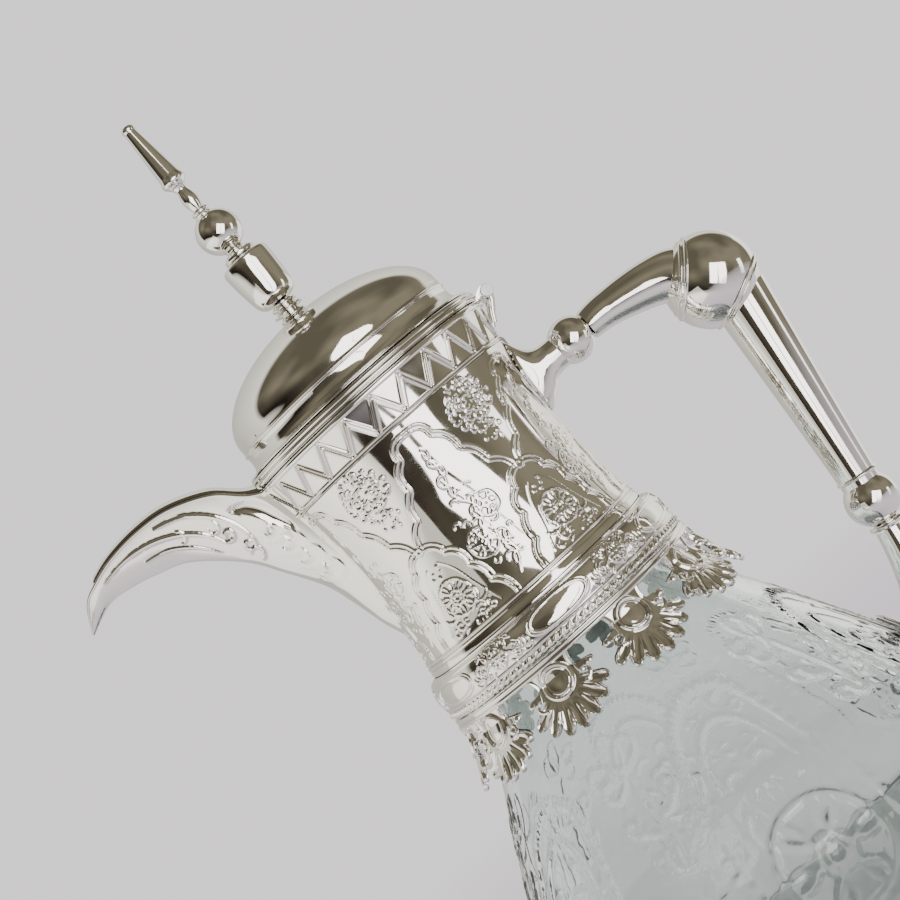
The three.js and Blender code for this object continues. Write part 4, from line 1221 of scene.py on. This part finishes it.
@dataclass
class PalmetteSkirt:
    """The lace of ten palmettes that hangs over the glass shoulder."""

    boss_z: float = 117.0
    radius: float = 41.8
    flare: float = 0.47
    thick: float = 1.15
    count: int = 10
    reach: float = 14.2
    petals: int = 7
    petal_turn: float = 19.0
    side_turn: float = 84.0
    boss_ring: float = 4.35
    boss_reach: float = 3.3
    boss_grid: float = 6.2
    hole_radius: float = 6.8
    band_top: float = 7.1
    band_bottom: float = 4.3
    band_back: float = 40.4

    @property
    def fan(self) -> float:
        """Half the angle that the petals fill, in degrees."""
        return self.petals * self.petal_turn / 2

    def within(self, theta: np.ndarray) -> np.ndarray:
        """Angle from the middle line of the nearest petal, in degrees."""
        return (theta + self.petal_turn / 2) % self.petal_turn - self.petal_turn / 2

    def bent(self, u: np.ndarray, v: np.ndarray, w: np.ndarray, angle: float) -> np.ndarray:
        """Bends flat points round the pot.

        Args:
            u: Distance round the pot from the palmette's middle.
            v: Height above its boss.
            w: Distance out from the back of the lace.
            angle: The palmette's place round the pot.

        Returns:
            The bent points, xyz last.
        """
        radius = self.radius + np.maximum(0, 1 - v) * self.flare + w
        turn = angle + u / self.radius
        return np.stack([radius * np.sin(turn), -radius * np.cos(turn), self.boss_z + v], -1)

    def edge(self, theta: np.ndarray) -> np.ndarray:
        """How far the palmette reaches at an angle from straight down, in degrees."""
        turn = np.abs(theta)
        lobe = np.sqrt(np.clip(np.cos(np.pi * self.within(turn) / self.petal_turn), 0, 1))
        petals = self.reach - 3.6 + 3.6 * lobe
        side = 6.6 + 4.9 * np.exp(-((turn - self.side_turn) / 6.5) ** 4)
        neck = 6.6 + 0.6 * np.clip((turn - 100) / 60, 0, 1)
        return np.where(turn < self.fan, petals, np.where(turn < 96, side, neck))

    def face(self, reach: np.ndarray, theta: np.ndarray, edge: np.ndarray) -> np.ndarray:
        """Height of the palmette's face: boss and ring, looped petals and a bead at each side.

        Args:
            reach: Distance from the boss's centre.
            theta: Angle from straight down, in degrees.
            edge: The outline's distance at that angle.

        Returns:
            Height above the back.
        """
        made = self.thick * np.clip((edge - reach) / 0.4, 0, 1) ** 0.5
        made += 0.8 * np.clip(1 - ((reach - self.boss_ring) / 0.6) ** 2, 0, 1)
        made += (0.2 * np.clip(1 - ((reach - self.boss_reach) / 0.3) ** 2, 0, 1)
                 + 0.5 * np.clip(1 - (reach / self.boss_reach) ** 2, 0, 1))
        # each petal is a loop: a raised edge round a flute that starts beside the boss
        along = np.clip((reach - 5.4) / (edge - 5.7), 0, 1)
        tip = np.maximum(2 * along - 1, 0)
        oval = (np.abs(2 * self.within(theta) / self.petal_turn) ** 2.2 + tip ** 5) ** (1 / 2.2)
        petal = (0.55 * np.clip(1 - ((oval - 0.74) / 0.24) ** 2, 0, 1)
                 - 0.3 * np.clip(1 - oval / 0.5, 0, 1))
        made += np.where(np.abs(theta) < self.fan, petal * np.clip((reach - 6) / 4, 0, 1), 0)
        bead = np.hypot(reach * np.sin(np.radians(np.abs(theta) - self.side_turn)), reach - 10.0)
        made += 0.8 * np.clip(1 - (bead / 1.3) ** 2, 0, 1)
        return np.maximum(made, 0.15)

    def palmette(self, skin: Skin, angle: float) -> None:
        """Adds one palmette and the column that hangs it from the band.

        Args:
            skin: Takes the parts.
            angle: The palmette's place round the pot, in radians.
        """
        theta = np.arange(210) * 360 / 210 - 180
        edge = self.edge(theta)[None]
        share = np.concatenate([np.linspace(0, 0.86, 18), [0.92, 0.96, 0.985, 1.0]])[1:, None]
        boss = np.linspace(0.15, self.boss_grid, 24)[:, None] + 0 * edge
        reach = np.concatenate([boss, self.boss_grid + (edge - self.boss_grid) * share])
        u, v = reach * np.sin(np.radians(theta)), -reach * np.cos(np.radians(theta))
        front = self.bent(u, v, self.face(reach, theta[None], edge), angle)
        back = self.bent(u[::-6], v[::-6], np.zeros_like(u[::-6]), angle)
        skin.grid(np.concatenate([front, back]))
        rise = np.linspace(-2.2, self.band_bottom + 0.6, 22)[:, None]
        share = np.linspace(-1, 1, 30)[None]
        pitch = TURN / self.count * self.radius
        drop = np.clip(rise - 1.2, -self.hole_radius + 0.3, self.hole_radius - 0.3)
        half = pitch / 2 - np.sqrt(self.hole_radius ** 2 - drop ** 2)
        u, v = half * share, rise + 0 * share
        lift = self.thick + 0.45 * np.clip((np.abs(share) - 0.84) / 0.1, 0, 1)
        lift = lift * np.clip((1 - np.abs(share)) / 0.03, 0.5, 1)
        skin.sheet(self.bent(u, v, lift, angle), self.bent(u, v, np.zeros_like(u), angle))
        for side in (-1, 1):
            volute = curl(5.8 * side, -4.6, 90 - 96 * side, 6.2, side * 4, side * 70)
            self.tube(skin, volute, 0.55, angle)

    def tube(self, skin: Skin, path: np.ndarray, radius: float, angle: float,
             sides: int = 8) -> None:
        """Adds a raised bead line along a flat path.

        Args:
            skin: Takes the line.
            path: Flat [u, v] points.
            radius: Half its width.
            angle: The palmette's place round the pot.
            sides: Facets round the line.
        """
        along, turn = headings(path), round_angles(sides)
        size = radius * np.concatenate([[0.4], np.ones(len(path) - 3), [1.25, 0.7]])[:, None]
        u = path[:, :1] - along[:, 1:] * size * np.cos(turn)
        v = path[:, 1:] + along[:, :1] * size * np.cos(turn)
        skin.grid(self.bent(u, v, self.thick + size * np.sin(turn), angle))

    def build(self, finishes: Finishes) -> None:
        """Makes the band and its palmettes as one lace."""
        skin = Skin()
        for k in range(self.count):
            self.palmette(skin, TURN * k / self.count - TURN / 4)
        low, high = self.boss_z + self.band_bottom, self.boss_z + self.band_top
        out, back = self.radius + 1.5, self.band_back
        skin.turned(eased([(back, low), (out - 0.2, low), (out + 0.2, low + 0.7), (out - 0.3, low + 1.3),
                           (out, high - 0.6), (out - 0.5, high), (back, high), (back, low)], 0.3), 240)
        skin.plated(finishes, "skirt_palmettes", Body.POT, "palmette_skirt")


# ------------------------------------------------------------------ lid


@dataclass
class Lid:
    """The hinged lid: flange with the spout's cover, domed cap and hinge knuckle."""

    flange_radius: float = 42.7
    flange_low: float = 209.2
    flange_high: float = 212.6
    opening: float = 35.3
    dome_radius: float = 37.3
    dome_wall: float = 1.2
    spring_z: float = 222.0
    top_z: float = 240.5
    inner_rise: float = 17.3
    hinge_x: float = 45.3
    knuckle: float = 2.0
    knuckle_bore: float = 1.0
    leaf_half: float = 5.0
    stud_bore: float = 1.7

    def flange(self, finishes: Finishes, spout: Spout) -> None:
        """Makes the flange, the crescent cover and the knuckle."""
        skin = Skin()
        low, high, out = self.flange_low, self.flange_high, self.flange_radius
        skin.turned(eased([(self.opening, low), (out - 0.9, low), (out, low + 0.9),
                           (out - 0.1, low + 1.5), (out - 0.7, low + 1.9), (out - 0.35, high - 0.9),
                           (out - 0.9, high - 0.1), (self.opening, high), (self.opening, low)], 0.35),
                    260)
        x = np.linspace(self.opening + 2.0, spout.cover_end, 160)[:, None]
        share = np.linspace(-1, 1, 33)[None]
        half = spout.width_at(x) + 0.2
        top = spout.top_at(x)
        under = np.maximum(spout.casting_at(x) + spout.cover_gap, np.where(x < 44.4, low, 0))
        top = np.maximum(top, under + spout.cover_at(x))
        end = np.clip((spout.cover_end - x) / 1.5, 0.35, 1) ** 0.5
        crown = (1 - np.abs(share) ** 6 * 0.55) * end
        ridge = 0.25 * np.exp(-((np.abs(share) - 0.8) / 0.07) ** 2)
        upper = np.stack([-x + 0 * share, half * share, under + (top - under) * crown + ridge * end], -1)
        lower = np.stack([-x + 0 * share, half * share, under + 0 * share], -1)
        skin.sheet(upper, lower)
        side, bore = self.leaf_half, self.knuckle_bore
        skin.turned(eased([(bore, -side), (self.knuckle, -side), (self.knuckle, side), (bore, side),
                           (bore, -side)], 0.3), 40, in_plane((self.hinge_x, low)), ACROSS)
        run = np.linspace(out - 2.4, self.hinge_x, 8)[:, None]
        wide = np.linspace(-side, side, 9)[None]
        leaf = low + 1.2 + 1.4 * np.clip((run - out) / 3, 0, 1) ** 0.5
        skin.sheet(np.stack([run + 0 * wide, wide + 0 * run, leaf + 0 * wide], -1),
                   np.stack([run + 0 * wide, wide + 0 * run, low + 0 * run + 0 * wide], -1))
        skin.plated(finishes, "lid_flange_cover", Body.LID, "lid_flange")

    def dome(self, finishes: Finishes) -> None:
        """Makes the domed cap with its cove and two fine beads."""
        turn = np.linspace(0, math.pi / 2 - 0.11, 60)
        crown = np.column_stack([self.dome_radius * np.cos(turn),
                                 self.spring_z + (self.top_z - self.spring_z) * np.sin(turn)])
        low = self.flange_high + 0.3
        cove = eased([(36.3, low), (40.9, low), (40.9, low + 0.6), (38.6, low + 1.0), (37.6, low + 2.4),
                      (37.3, low + 4), (37.3, 218.9), (37.75, 219.3), (37.75, 219.7), (37.3, 220.1),
                      (37.32, 221.2)], 0.4)
        inner = np.column_stack([(self.dome_radius - self.dome_wall) * np.cos(turn),
                                 self.spring_z + self.inner_rise * np.sin(turn)])[::-1]
        outline = np.vstack([cove, crown, [(4.4, self.top_z), (self.stud_bore, self.top_z),
                                           (self.stud_bore, self.top_z - 1.2)], inner,
                             [(36.1, 220), (36.1, low + 1), (36.3, low)]])
        skin = Skin()
        skin.turned(outline, 260)
        skin.plated(finishes, "lid_dome_polished", Body.LID, "lid_dome")

    def build(self, finishes: Finishes, spout: Spout) -> None:
        """Makes the lid's plated pieces."""
        self.flange(finishes, spout)
        self.dome(finishes)


@dataclass
class Finial:
    """The tall finial: rings, barrel, step, ball, collar, spindle and cone on one stud."""

    bore: float = 1.7
    ball_radius: float = 6.9
    ball_z: float = 273.8
    sides: int = 96

    def build(self, finishes: Finishes) -> None:
        """Makes the finial's turned pieces."""
        ball = np.array([(self.ball_radius * math.sin(t), self.ball_z - self.ball_radius * math.cos(t))
                         for t in np.linspace(0.42, math.pi - 0.42, 40)])
        bore = self.bore
        outlines = {
            "finial_rings": eased([(bore, 240.8), (4, 240.8), (4.5, 241.5), (3.1, 242.5), (3.1, 242.8),
                                   (5.0, 243.4), (5.0, 243.8), (3.1, 244.4), (3.1, 244.7), (4.3, 245.3),
                                   (4.2, 245.7), (3.4, 246.5), (bore, 246.5), (bore, 240.8)], 0.3),
            "finial_barrel": np.vstack([
                [(bore, 246.8), (3.0, 246.8)],
                spline([(3.2, 246.9), (5.2, 247.5), (6.5, 249.2), (7.1, 252.4), (7.55, 257),
                        (7.75, 260.4), (7.7, 262.2)], 40),
                eased([(7.7, 262.3), (7.5, 262.9), (6.9, 263.3), (6.0, 263.6), (bore, 263.6),
                       (bore, 246.8)], 0.25)]),
            "finial_step": eased([(bore, 263.9), (4.5, 263.9), (5.05, 264.3), (5.05, 265.3), (4.2, 265.8),
                                  (3.6, 266.3), (bore, 266.3), (bore, 263.9)], 0.25),
            "finial_ball": np.vstack([[(0, 266.6), (2.6, 266.6), (2.9, 266.9)], ball,
                                      [(2.9, 280.3), (2.5, 280.7), (0, 280.7)]]),
            "finial_collar": eased([(0, 281), (2.3, 281), (3.1, 281.7), (2.3, 282.4), (0, 282.4)], 0.4),
            "finial_spindle": np.vstack([[(0, 282.7)], spline([
                (1.7, 282.7), (2.1, 284), (2.45, 286), (2.25, 287.8), (1.75, 289.6), (1.85, 290.4),
                (2.2, 291.1)], 40), [(0, 291.1)]]),
            "finial_cone": np.vstack([[(0, 291.4)], eased([
                (0.5, 291.4), (2.6, 291.4), (2.9, 292.0), (3.7, 292.7), (3.95, 293.4), (3.8, 294.1),
                (3.4, 295.2), (1.85, 312.2), (2.1, 312.8), (2.1, 313.5), (1.4, 314.3), (0.5, 314.3)],
                0.35), [(0, 314.3)]]),
        }
        for node, outline in outlines.items():
            skin = Skin()
            skin.turned(outline, self.sides)
            skin.plated(finishes, node + "_turned", Body.LID, node)


# ------------------------------------------------------------------ handle


@dataclass
class Handle:
    """The cast handle: shield, ball, arched arm, elbow ball with rings, long arm and lower end."""

    upper: tuple[float, float] = (54.7, 182.9)
    elbow: tuple[float, float] = (96.3, 169.1)
    lower: tuple[float, float] = (88.4, 91.2)
    foot: tuple[float, float] = (73.7, 52.0)
    upper_radius: float = 7.0
    elbow_radius: float = 14.3
    lower_radius: float = 8.1
    ring_start: float = 7.5
    ring_radius: float = 12.2

    def __post_init__(self) -> None:
        """Finds the axes that the arms and rings follow."""
        self.up_axis = Vector((-0.736, 0, 0.677)).normalized()
        self.down_axis = Vector((0.408, 0, -0.913)).normalized()
        self.arm_start = in_plane(self.elbow) + self.down_axis * (self.ring_start + 0.8)
        self.arm_axis = (in_plane(self.lower) - self.arm_start).normalized()

    def ball(self, node: str, centre: tuple[float, float], radius: float, finishes: Finishes) -> None:
        """Makes one ball of the handle, which stands for a part of the frame."""
        turn = np.linspace(0, math.pi, 60)
        skin = Skin()
        skin.turned(np.column_stack([radius * np.sin(turn), -radius * np.cos(turn)]), 96,
                    in_plane(centre), ACROSS)
        skin.plated(finishes, node + "_cast", Body.POT, node)

    def arms(self, finishes: Finishes) -> None:
        """Makes the arched upper arm, the long arm and the lower arm."""
        path = spline([(self.upper[0] + 6.2, 182.9), (66.6, 182.9), (75.0, 181.7), (83.3, 179.7),
                       (88.6, 177.4), (91.4, 173.8)], 70)
        radii = np.interp(np.linspace(0, 1, 70), [0, 0.25, 0.5, 0.75, 1], [4.6, 5.3, 6.65, 7.8, 8.8])
        skin = Skin()
        skin.swept(path, radii)
        skin.plated(finishes, "handle_arm_upper_cast", Body.POT, "handle_arm_upper")
        start, low = self.arm_start, in_plane(self.lower)
        far = low - self.arm_axis * 5
        straight = np.linspace([start.x, start.z], [far.x, far.z], 60)
        # the casting narrows a little faster near the elbow than at its lower end
        taper = 5.8 + 3.2 * (1 - np.linspace(0, 1, 60)) ** 1.15
        skin = Skin()
        skin.swept(straight, taper)
        skin.turned(eased([(0, -8.6), (6.0, -8.6), (6.5, -7.9), (6.0, -7.2), (0, -7.2)], 0.3), 64, low,
                    self.arm_axis)
        skin.plated(finishes, "handle_arm_long_cast", Body.POT, "handle_arm_long")
        begin = low + self.arm_axis * 9.3
        drop = begin + self.arm_axis * 18
        t = np.linspace(0, 1, 60)[:, None]
        knots = [np.array(p) for p in [(begin.x, begin.z), (drop.x, drop.z),
                                       (self.foot[0] + 3.2, self.foot[1])]]
        bow = (1 - t) ** 2 * knots[0] + 2 * t * (1 - t) * knots[1] + t ** 2 * knots[2]
        skin = Skin()
        skin.swept(bow, np.interp(t[:, 0], [0, 1 / 3, 2 / 3, 1], [4.5, 5.4, 6.4, 6.8]))
        skin.plated(finishes, "handle_arm_lower_cast", Body.POT, "handle_arm_lower")

    def rings(self, finishes: Finishes) -> None:
        """Makes the two stepped rings of the elbow and the ring below the lower ball."""
        s, r = self.ring_start, self.ring_radius
        outline = eased([(0, s), (r - 0.5, s), (r, s + 0.5), (r, s + 0.9), (r - 0.6, s + 1.4),
                         (r - 1.9, s + 1.6), (r - 1.35, s + 2.0), (r - 1.35, s + 2.3),
                         (r - 1.9, s + 2.8), (0, s + 2.8)], 0.3)
        for axis, node in [(self.up_axis, "elbow_ring_upper"), (self.down_axis, "elbow_ring_lower")]:
            skin = Skin()
            skin.turned(outline, 120, in_plane(self.elbow), axis)
            skin.plated(finishes, node + "_cast", Body.POT, node)
        skin = Skin()
        skin.turned(eased([(0, 7.2), (5.0, 7.2), (5.6, 7.9), (5.6, 8.2), (5.0, 8.9), (0, 8.9)], 0.3), 80,
                    in_plane(self.lower), self.arm_axis)
        skin.plated(finishes, "handle_ring_lower_cast", Body.POT, "handle_ring_lower")

    def shield_half(self, v: np.ndarray, wide: float, tall: float) -> np.ndarray:
        """Half width of a pointed shield at a height above its middle."""
        up = np.interp(v / tall, [-1, -0.75, -0.45, -0.1, 0.12, 0.35, 0.6, 0.85, 1],
                       [0, 0.42, 0.8, 0.99, 1, 0.88, 0.6, 0.26, 0])
        return wide * up

    def shield(self, skin: Skin, surface: Callable[[np.ndarray], np.ndarray], middle: float,
               wide: float, tall: float, lift: float) -> None:
        """Adds a plain shield plate that hugs the pot and thins towards its edge.

        Args:
            skin: Takes the plate.
            surface: The pot's radius at a height.
            middle: The shield's middle height.
            wide: Half its width.
            tall: Half its height.
            lift: Gap between the pot and the plate.
        """
        v = np.linspace(-0.985, 0.985, 120)[:, None] * tall
        share = np.sin(np.linspace(-1, 1, 81) * math.pi / 2)[None]
        u = self.shield_half(v, wide, tall) * share
        z = middle + v + 0 * share
        inner = surface(z) + lift
        edge = np.minimum(1 - np.abs(share), 1 - np.abs(v / tall)) * wide
        face = 0.9 * np.clip(edge / 0.9, 0.2, 1) ** 0.5
        turn = u / (inner + 1)
        place = lambda w: np.stack([(inner + w) * np.cos(turn), (inner + w) * np.sin(turn), z], -1)
        skin.sheet(place(face), place(0 * face))

    def mounts(self, finishes: Finishes, collar: Collar, glass: GlassBody) -> None:
        """Makes the upper shield with its trumpet neck and the lower shield."""
        skin = Skin()
        self.shield(skin, collar.radius_at, middle=184.3, wide=9.5, tall=13, lift=0.3)
        # the neck sweeps out of the whole shield, pointed above and below, and thins to the ball
        # each station is its distance, its top, its foot and its half width
        stations = spline([
            (38.4, 197.0, 171.4, 7.9), (39.4, 195.6, 171.9, 7.4), (40.6, 192.9, 173.0, 6.8),
            (42.2, 190.2, 174.9, 6.1), (44.2, 188.5, 176.8, 5.4), (46.6, 187.8, 177.8, 4.9),
            (50.4, 187.7, 177.9, 4.7)], 70)
        turn = round_angles(96)
        middle, tall = (stations[:, 1] + stations[:, 2]) / 2, (stations[:, 1] - stations[:, 2]) / 2
        # near the shield the section is a flat blade with ridged edges, near the ball it is round
        blade = np.linspace(1, 0, 70)[:, None] ** 1.5
        rise = np.abs(np.sin(turn))
        ridge = 1 + 0.16 * np.exp(-((rise - 0.84) / 0.07) ** 2)
        flat = np.sign(np.cos(turn)) * np.sqrt(1 - rise ** 4 * 0.999) * 0.72 * ridge
        side = (1 - blade) * np.cos(turn) + blade * flat
        lean = np.clip((43 - stations[:, :1]) / 4.6, 0, 1) * (np.sin(turn) * 1.1 - 0.2)
        skin.grid(np.stack([stations[:, :1] + lean, stations[:, 3:] * side,
                            middle[:, None] + tall[:, None] * np.sin(turn)], -1))
        skin.plated(finishes, "handle_shield_upper_cast", Body.POT, "handle_shield_upper")
        outline = glass.outline()
        skin = Skin()
        self.shield(skin, lambda z: np.interp(z, outline[:, 1], outline[:, 0]), middle=self.foot[1],
                    wide=10, tall=14, lift=1.2)
        skin.plated(finishes, "handle_shield_lower_cast", Body.POT, "handle_shield_lower")

    def build(self, finishes: Finishes, collar: Collar, glass: GlassBody) -> None:
        """Makes every casting of the handle."""
        self.mounts(finishes, collar, glass)
        self.ball("handle_ball_upper", self.upper, self.upper_radius, finishes)
        self.ball("elbow_ball", self.elbow, self.elbow_radius, finishes)
        self.ball("handle_ball_lower", self.lower, self.lower_radius, finishes)
        self.arms(finishes)
        self.rings(finishes)


@dataclass
class Hinge:
    """The bracket at the back of the rim: two knuckles on slim curved arms."""

    x: float = 45.3
    z: float = 209.2
    knuckle: float = 2.0
    bore: float = 1.2
    half_length: float = 2.5
    beside: float = 7.8

    def build(self, finishes: Finishes) -> None:
        """Makes the knuckles and their arms."""
        skin = Skin()
        path = spline([(self.x, self.z - 1.3), (44.5, 206.2), (42.7, 203.7), (41.2, 201.0)], 24)
        end = self.half_length
        line = eased([(self.bore, -end), (self.knuckle, -end), (self.knuckle, end), (self.bore, end),
                      (self.bore, -end)], 0.3)
        for side in (-self.beside, self.beside):
            skin.turned(line, 48, Vector((self.x, side, self.z)), ACROSS)
            skin.swept(path, np.linspace(1.4, 0.9, 24), 32, side)
        skin.plated(finishes, "hinge_bracket_cast", Body.POT, "hinge_bracket")


# ------------------------------------------------------------------ studio


@dataclass
class Studio:
    """A pale wall and floor behind the pot, a dim room before it, soft windows and cards."""

    wall: str = "#D9D4D8"
    paper: str = "#DDDACE"
    room: str = "#7B7562"
    shade: str = "#2E2620"
    floor_colour: str = "#D6D3D6"
    floor_drift: str = "#D2CFD3"
    floor_radius: float = 0.9
    target: tuple[float, float, float] = (0.0076, 0.0, 0.1826)
    eye: tuple[float, float, float] = (-0.0099, -0.5996, 0.1706)
    roll: float = -41.91
    lens: float = 83.6
    front_way: tuple[float, float, float] = (0.334, -1.0, 0.372)
    side_way: tuple[float, float, float] = (-0.668, 0.0, -0.744)
    wall_glow: float = 1.75
    window_away: float = 2.0
    window_colour: str = "#FFFDF8"
    floor_sides: int = 96

    def view_axes(self) -> tuple[Vector, Vector, Vector]:
        """The view's right, up and backward directions."""
        back = (Vector(self.eye) - Vector(self.target)).normalized()
        level = UPWARD.cross(back).normalized()
        rise = back.cross(level)
        turn = math.radians(self.roll)
        right = level * math.cos(turn) + rise * math.sin(turn)
        return right, rise * math.cos(turn) - level * math.sin(turn), back

    def camera(self) -> None:
        """Puts the camera at its viewing angle."""
        eye = Vector(self.eye)
        right, up, back = self.view_axes()
        data = bpy.data.cameras.new("camera")
        data.lens, data.sensor_width, data.clip_start = self.lens, 36.0, 0.01
        made = bpy.data.objects.new("camera", data)
        basis = Matrix((right, up, back)).transposed().to_4x4()
        made.matrix_world = Matrix.Translation(eye) @ basis
        bpy.context.scene.collection.objects.link(made)
        bpy.context.scene.camera = made

    def world(self) -> None:
        """Lights the scene with a pale wall and a dim olive room that only mirrors see."""
        made = bpy.data.worlds.new("studio")
        bpy.context.scene.world = made
        made.use_nodes = True
        tree = made.node_tree
        tree.nodes.clear()
        way = add(tree, "ShaderNodeTexCoord").outputs["Generated"]
        front = add(tree, "ShaderNodeVectorMath", {0: way, 1: self.front_way}, operation="DOT_PRODUCT")
        side = add(tree, "ShaderNodeVectorMath", {0: way, 1: self.side_way}, operation="DOT_PRODUCT")
        before = spread(tree, front.outputs["Value"], 0.0, 1.0, -0.32, -0.2)
        above = spread(tree, side.outputs["Value"], 1.0, 0.0, 0.5, 0.62)
        dim = add(tree, "ShaderNodeMath", {0: before, 1: above}, operation="MULTIPLY")
        # the room is darkest just above the pale table
        low = spread(tree, side.outputs["Value"], 0.0, 1.0, -0.1, 0.45)
        tone = add(tree, "ShaderNodeMix", {0: low, 6: linear(self.room), 7: linear(self.shade)},
                   data_type="RGBA")
        clutter = add(tree, "ShaderNodeTexNoise", {"Vector": way, "Scale": 1.4, "Detail": 1.0})
        uneven = spread(tree, clutter.outputs[0], 0.6, 1.3, 0.35, 0.66)
        room = add(tree, "ShaderNodeBackground", {"Color": tone.outputs[2], "Strength": uneven})
        # the wall behind lies in the pot's own shadow and is duller than the table
        dull = spread(tree, front.outputs["Value"], 0.95, 1.65, -0.95, -0.25)
        paper = add(tree, "ShaderNodeBackground", {"Color": linear(self.paper), "Strength": dull})
        wall = add(tree, "ShaderNodeBackground", {
            "Color": linear(self.wall), "Strength": self.wall_glow,
        })
        seen = add(tree, "ShaderNodeMixShader", {
            0: dim.outputs[0], 1: paper.outputs[0], 2: room.outputs[0],
        })
        ray = add(tree, "ShaderNodeLightPath")
        # light that has passed through the glass meets only the pale wall
        outside = add(tree, "ShaderNodeMath", {0: ray.outputs["Transmission Depth"], 1: 0.5},
                      operation="LESS_THAN")
        mirror = add(tree, "ShaderNodeMath", {0: ray.outputs["Is Glossy Ray"], 1: outside.outputs[0]},
                     operation="MULTIPLY")
        glossy = add(tree, "ShaderNodeMixShader", {
            0: mirror.outputs[0], 1: wall.outputs[0], 2: seen.outputs[0],
        })
        add(tree, "ShaderNodeOutputWorld", {"Surface": glossy.outputs[0]})

    def panel(self, name: str, place: Vector, up: Vector, size: tuple[float, float], glow: float,
              colour: str) -> None:
        """Hangs a soft rectangular light that faces the pot and that only mirrors see.

        Args:
            name: The light's name.
            place: Its centre in metres.
            up: The direction of its upright edges.
            size: Its width and height in metres.
            glow: How bright its face is.
            colour: Its colour.
        """
        data = bpy.data.lights.new(name, "AREA")
        data.shape, data.size, data.size_y = "RECTANGLE", size[0], size[1]
        data.energy, data.color = glow * math.pi * size[0] * size[1], linear(colour)[:3]
        made = bpy.data.objects.new(name, data)
        way = (place - Vector(self.target)).normalized()
        across = up.cross(way).normalized()
        turn = Matrix((across, way.cross(across), way)).transposed().to_4x4()
        made.matrix_world = Matrix.Translation(place) @ turn
        made.visible_camera = False
        bpy.context.scene.collection.objects.link(made)

    def window(self, name: str, beside: float, above: float, size: tuple[float, float],
               glow: float) -> None:
        """Hangs a window well away from the pot, square to the view.

        Args:
            name: The light's name.
            beside: Its direction to the right of the view's line, in degrees.
            above: Its direction above the view's line, in degrees.
            size: Its width and height in metres.
            glow: How bright its face is.
        """
        right, up, back = self.view_axes()
        turn, rise = math.radians(beside), math.radians(above)
        way = (back * math.cos(turn) + right * math.sin(turn)).normalized()
        way = (way * math.cos(rise) + up * math.sin(rise)).normalized()
        place = Vector(self.target) + way * self.window_away
        self.panel(name, place, up, size, glow, self.window_colour)

    def floor(self) -> None:
        """Lays a matt disc that fades into the pale surroundings."""
        made, tree = new_material("painted_board_matt")
        tone = spread(tree, grain(tree, 60.0, 3.0), 0.0, 1.0)
        colour = add(tree, "ShaderNodeMix", {
            0: tone, 6: linear(self.floor_colour), 7: linear(self.floor_drift),
        }, data_type="RGBA")
        board = add(tree, "ShaderNodeBsdfPrincipled", {
            "Base Color": colour.outputs[2], "Roughness": 0.8,
        })
        place = add(tree, "ShaderNodeTexCoord")
        far = add(tree, "ShaderNodeVectorMath", {0: place.outputs["Object"]}, operation="LENGTH")
        fade = spread(tree, far.outputs["Value"], 1.0, 0.0, 0.2, 0.75)
        clear = add(tree, "ShaderNodeBsdfTransparent")
        mixed = add(tree, "ShaderNodeMixShader", {0: fade, 1: clear.outputs[0], 2: board.outputs[0]})
        finish_with(tree, mixed)
        turn = round_angles(self.floor_sides)
        mesh = bpy.data.meshes.new("floor")
        rim = np.column_stack([np.cos(turn), np.sin(turn), 0 * turn]) * self.floor_radius
        mesh.from_pydata(rim.tolist(), [], [list(range(self.floor_sides))])
        mesh.materials.append(made)
        disc = bpy.data.objects.new("floor", mesh)
        bpy.context.scene.collection.objects.link(disc)

    def build(self) -> None:
        """Makes the camera, the surroundings and the lights."""
        self.camera()
        self.world()
        self.floor()
        self.window("window_left_pane", 3, 12, (0.64, 1.75), 4.0)
        self.window("window_right_pane", 23, 12, (0.64, 1.75), 4.0)
        self.window("window_far", 75, 24, (0.35, 0.9), 2.5)
        self.panel("card_spout_side", Vector((-0.30, -0.09, 0.11)), UPWARD, (0.6, 0.26), 1.1, self.paper)
        self.panel("card_handle_side", Vector((0.25, 0.25, 0.13)), UPWARD, (0.3, 0.25), 1.0, self.paper)


# ------------------------------------------------------------------ the pot


def main() -> None:
    """Builds every sub-assembly in order."""
    logging.basicConfig(level=logging.INFO, format="%(name)s %(message)s")
    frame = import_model()
    finishes = Finishes()
    glass, collar, spout = GlassBody(), Collar(), Spout()
    Studio().build()
    glass.build(finishes)
    collar.build(finishes, spout)
    spout.build(finishes, collar.radius_at)
    Belt().build(finishes)
    PalmetteSkirt().build(finishes)
    Lid().build(finishes, spout)
    Finial().build(finishes)
    Handle().build(finishes, collar, glass)
    Hinge().build(finishes)
    nodes = frame["nodes"]
    finishes.redress(nodes, Slot.SILICONE, ["neck_seal", "screw_washer", "lid_seal"])
    finishes.redress(nodes, Slot.PLASTIC, ["neck_liner", "lid_liner"])
    finishes.redress(nodes, Slot.ADHESIVE, ["bond_pad"])
    finishes.redress(nodes, Slot.STEEL, [
        "hinge_pin", "handle_screw", "handle_stud_upper", "elbow_stud_upper", "elbow_stud_lower",
        "handle_stud_lower", "finial_stud", "finial_nut",
    ])


if __name__ == "__main__":
    main()
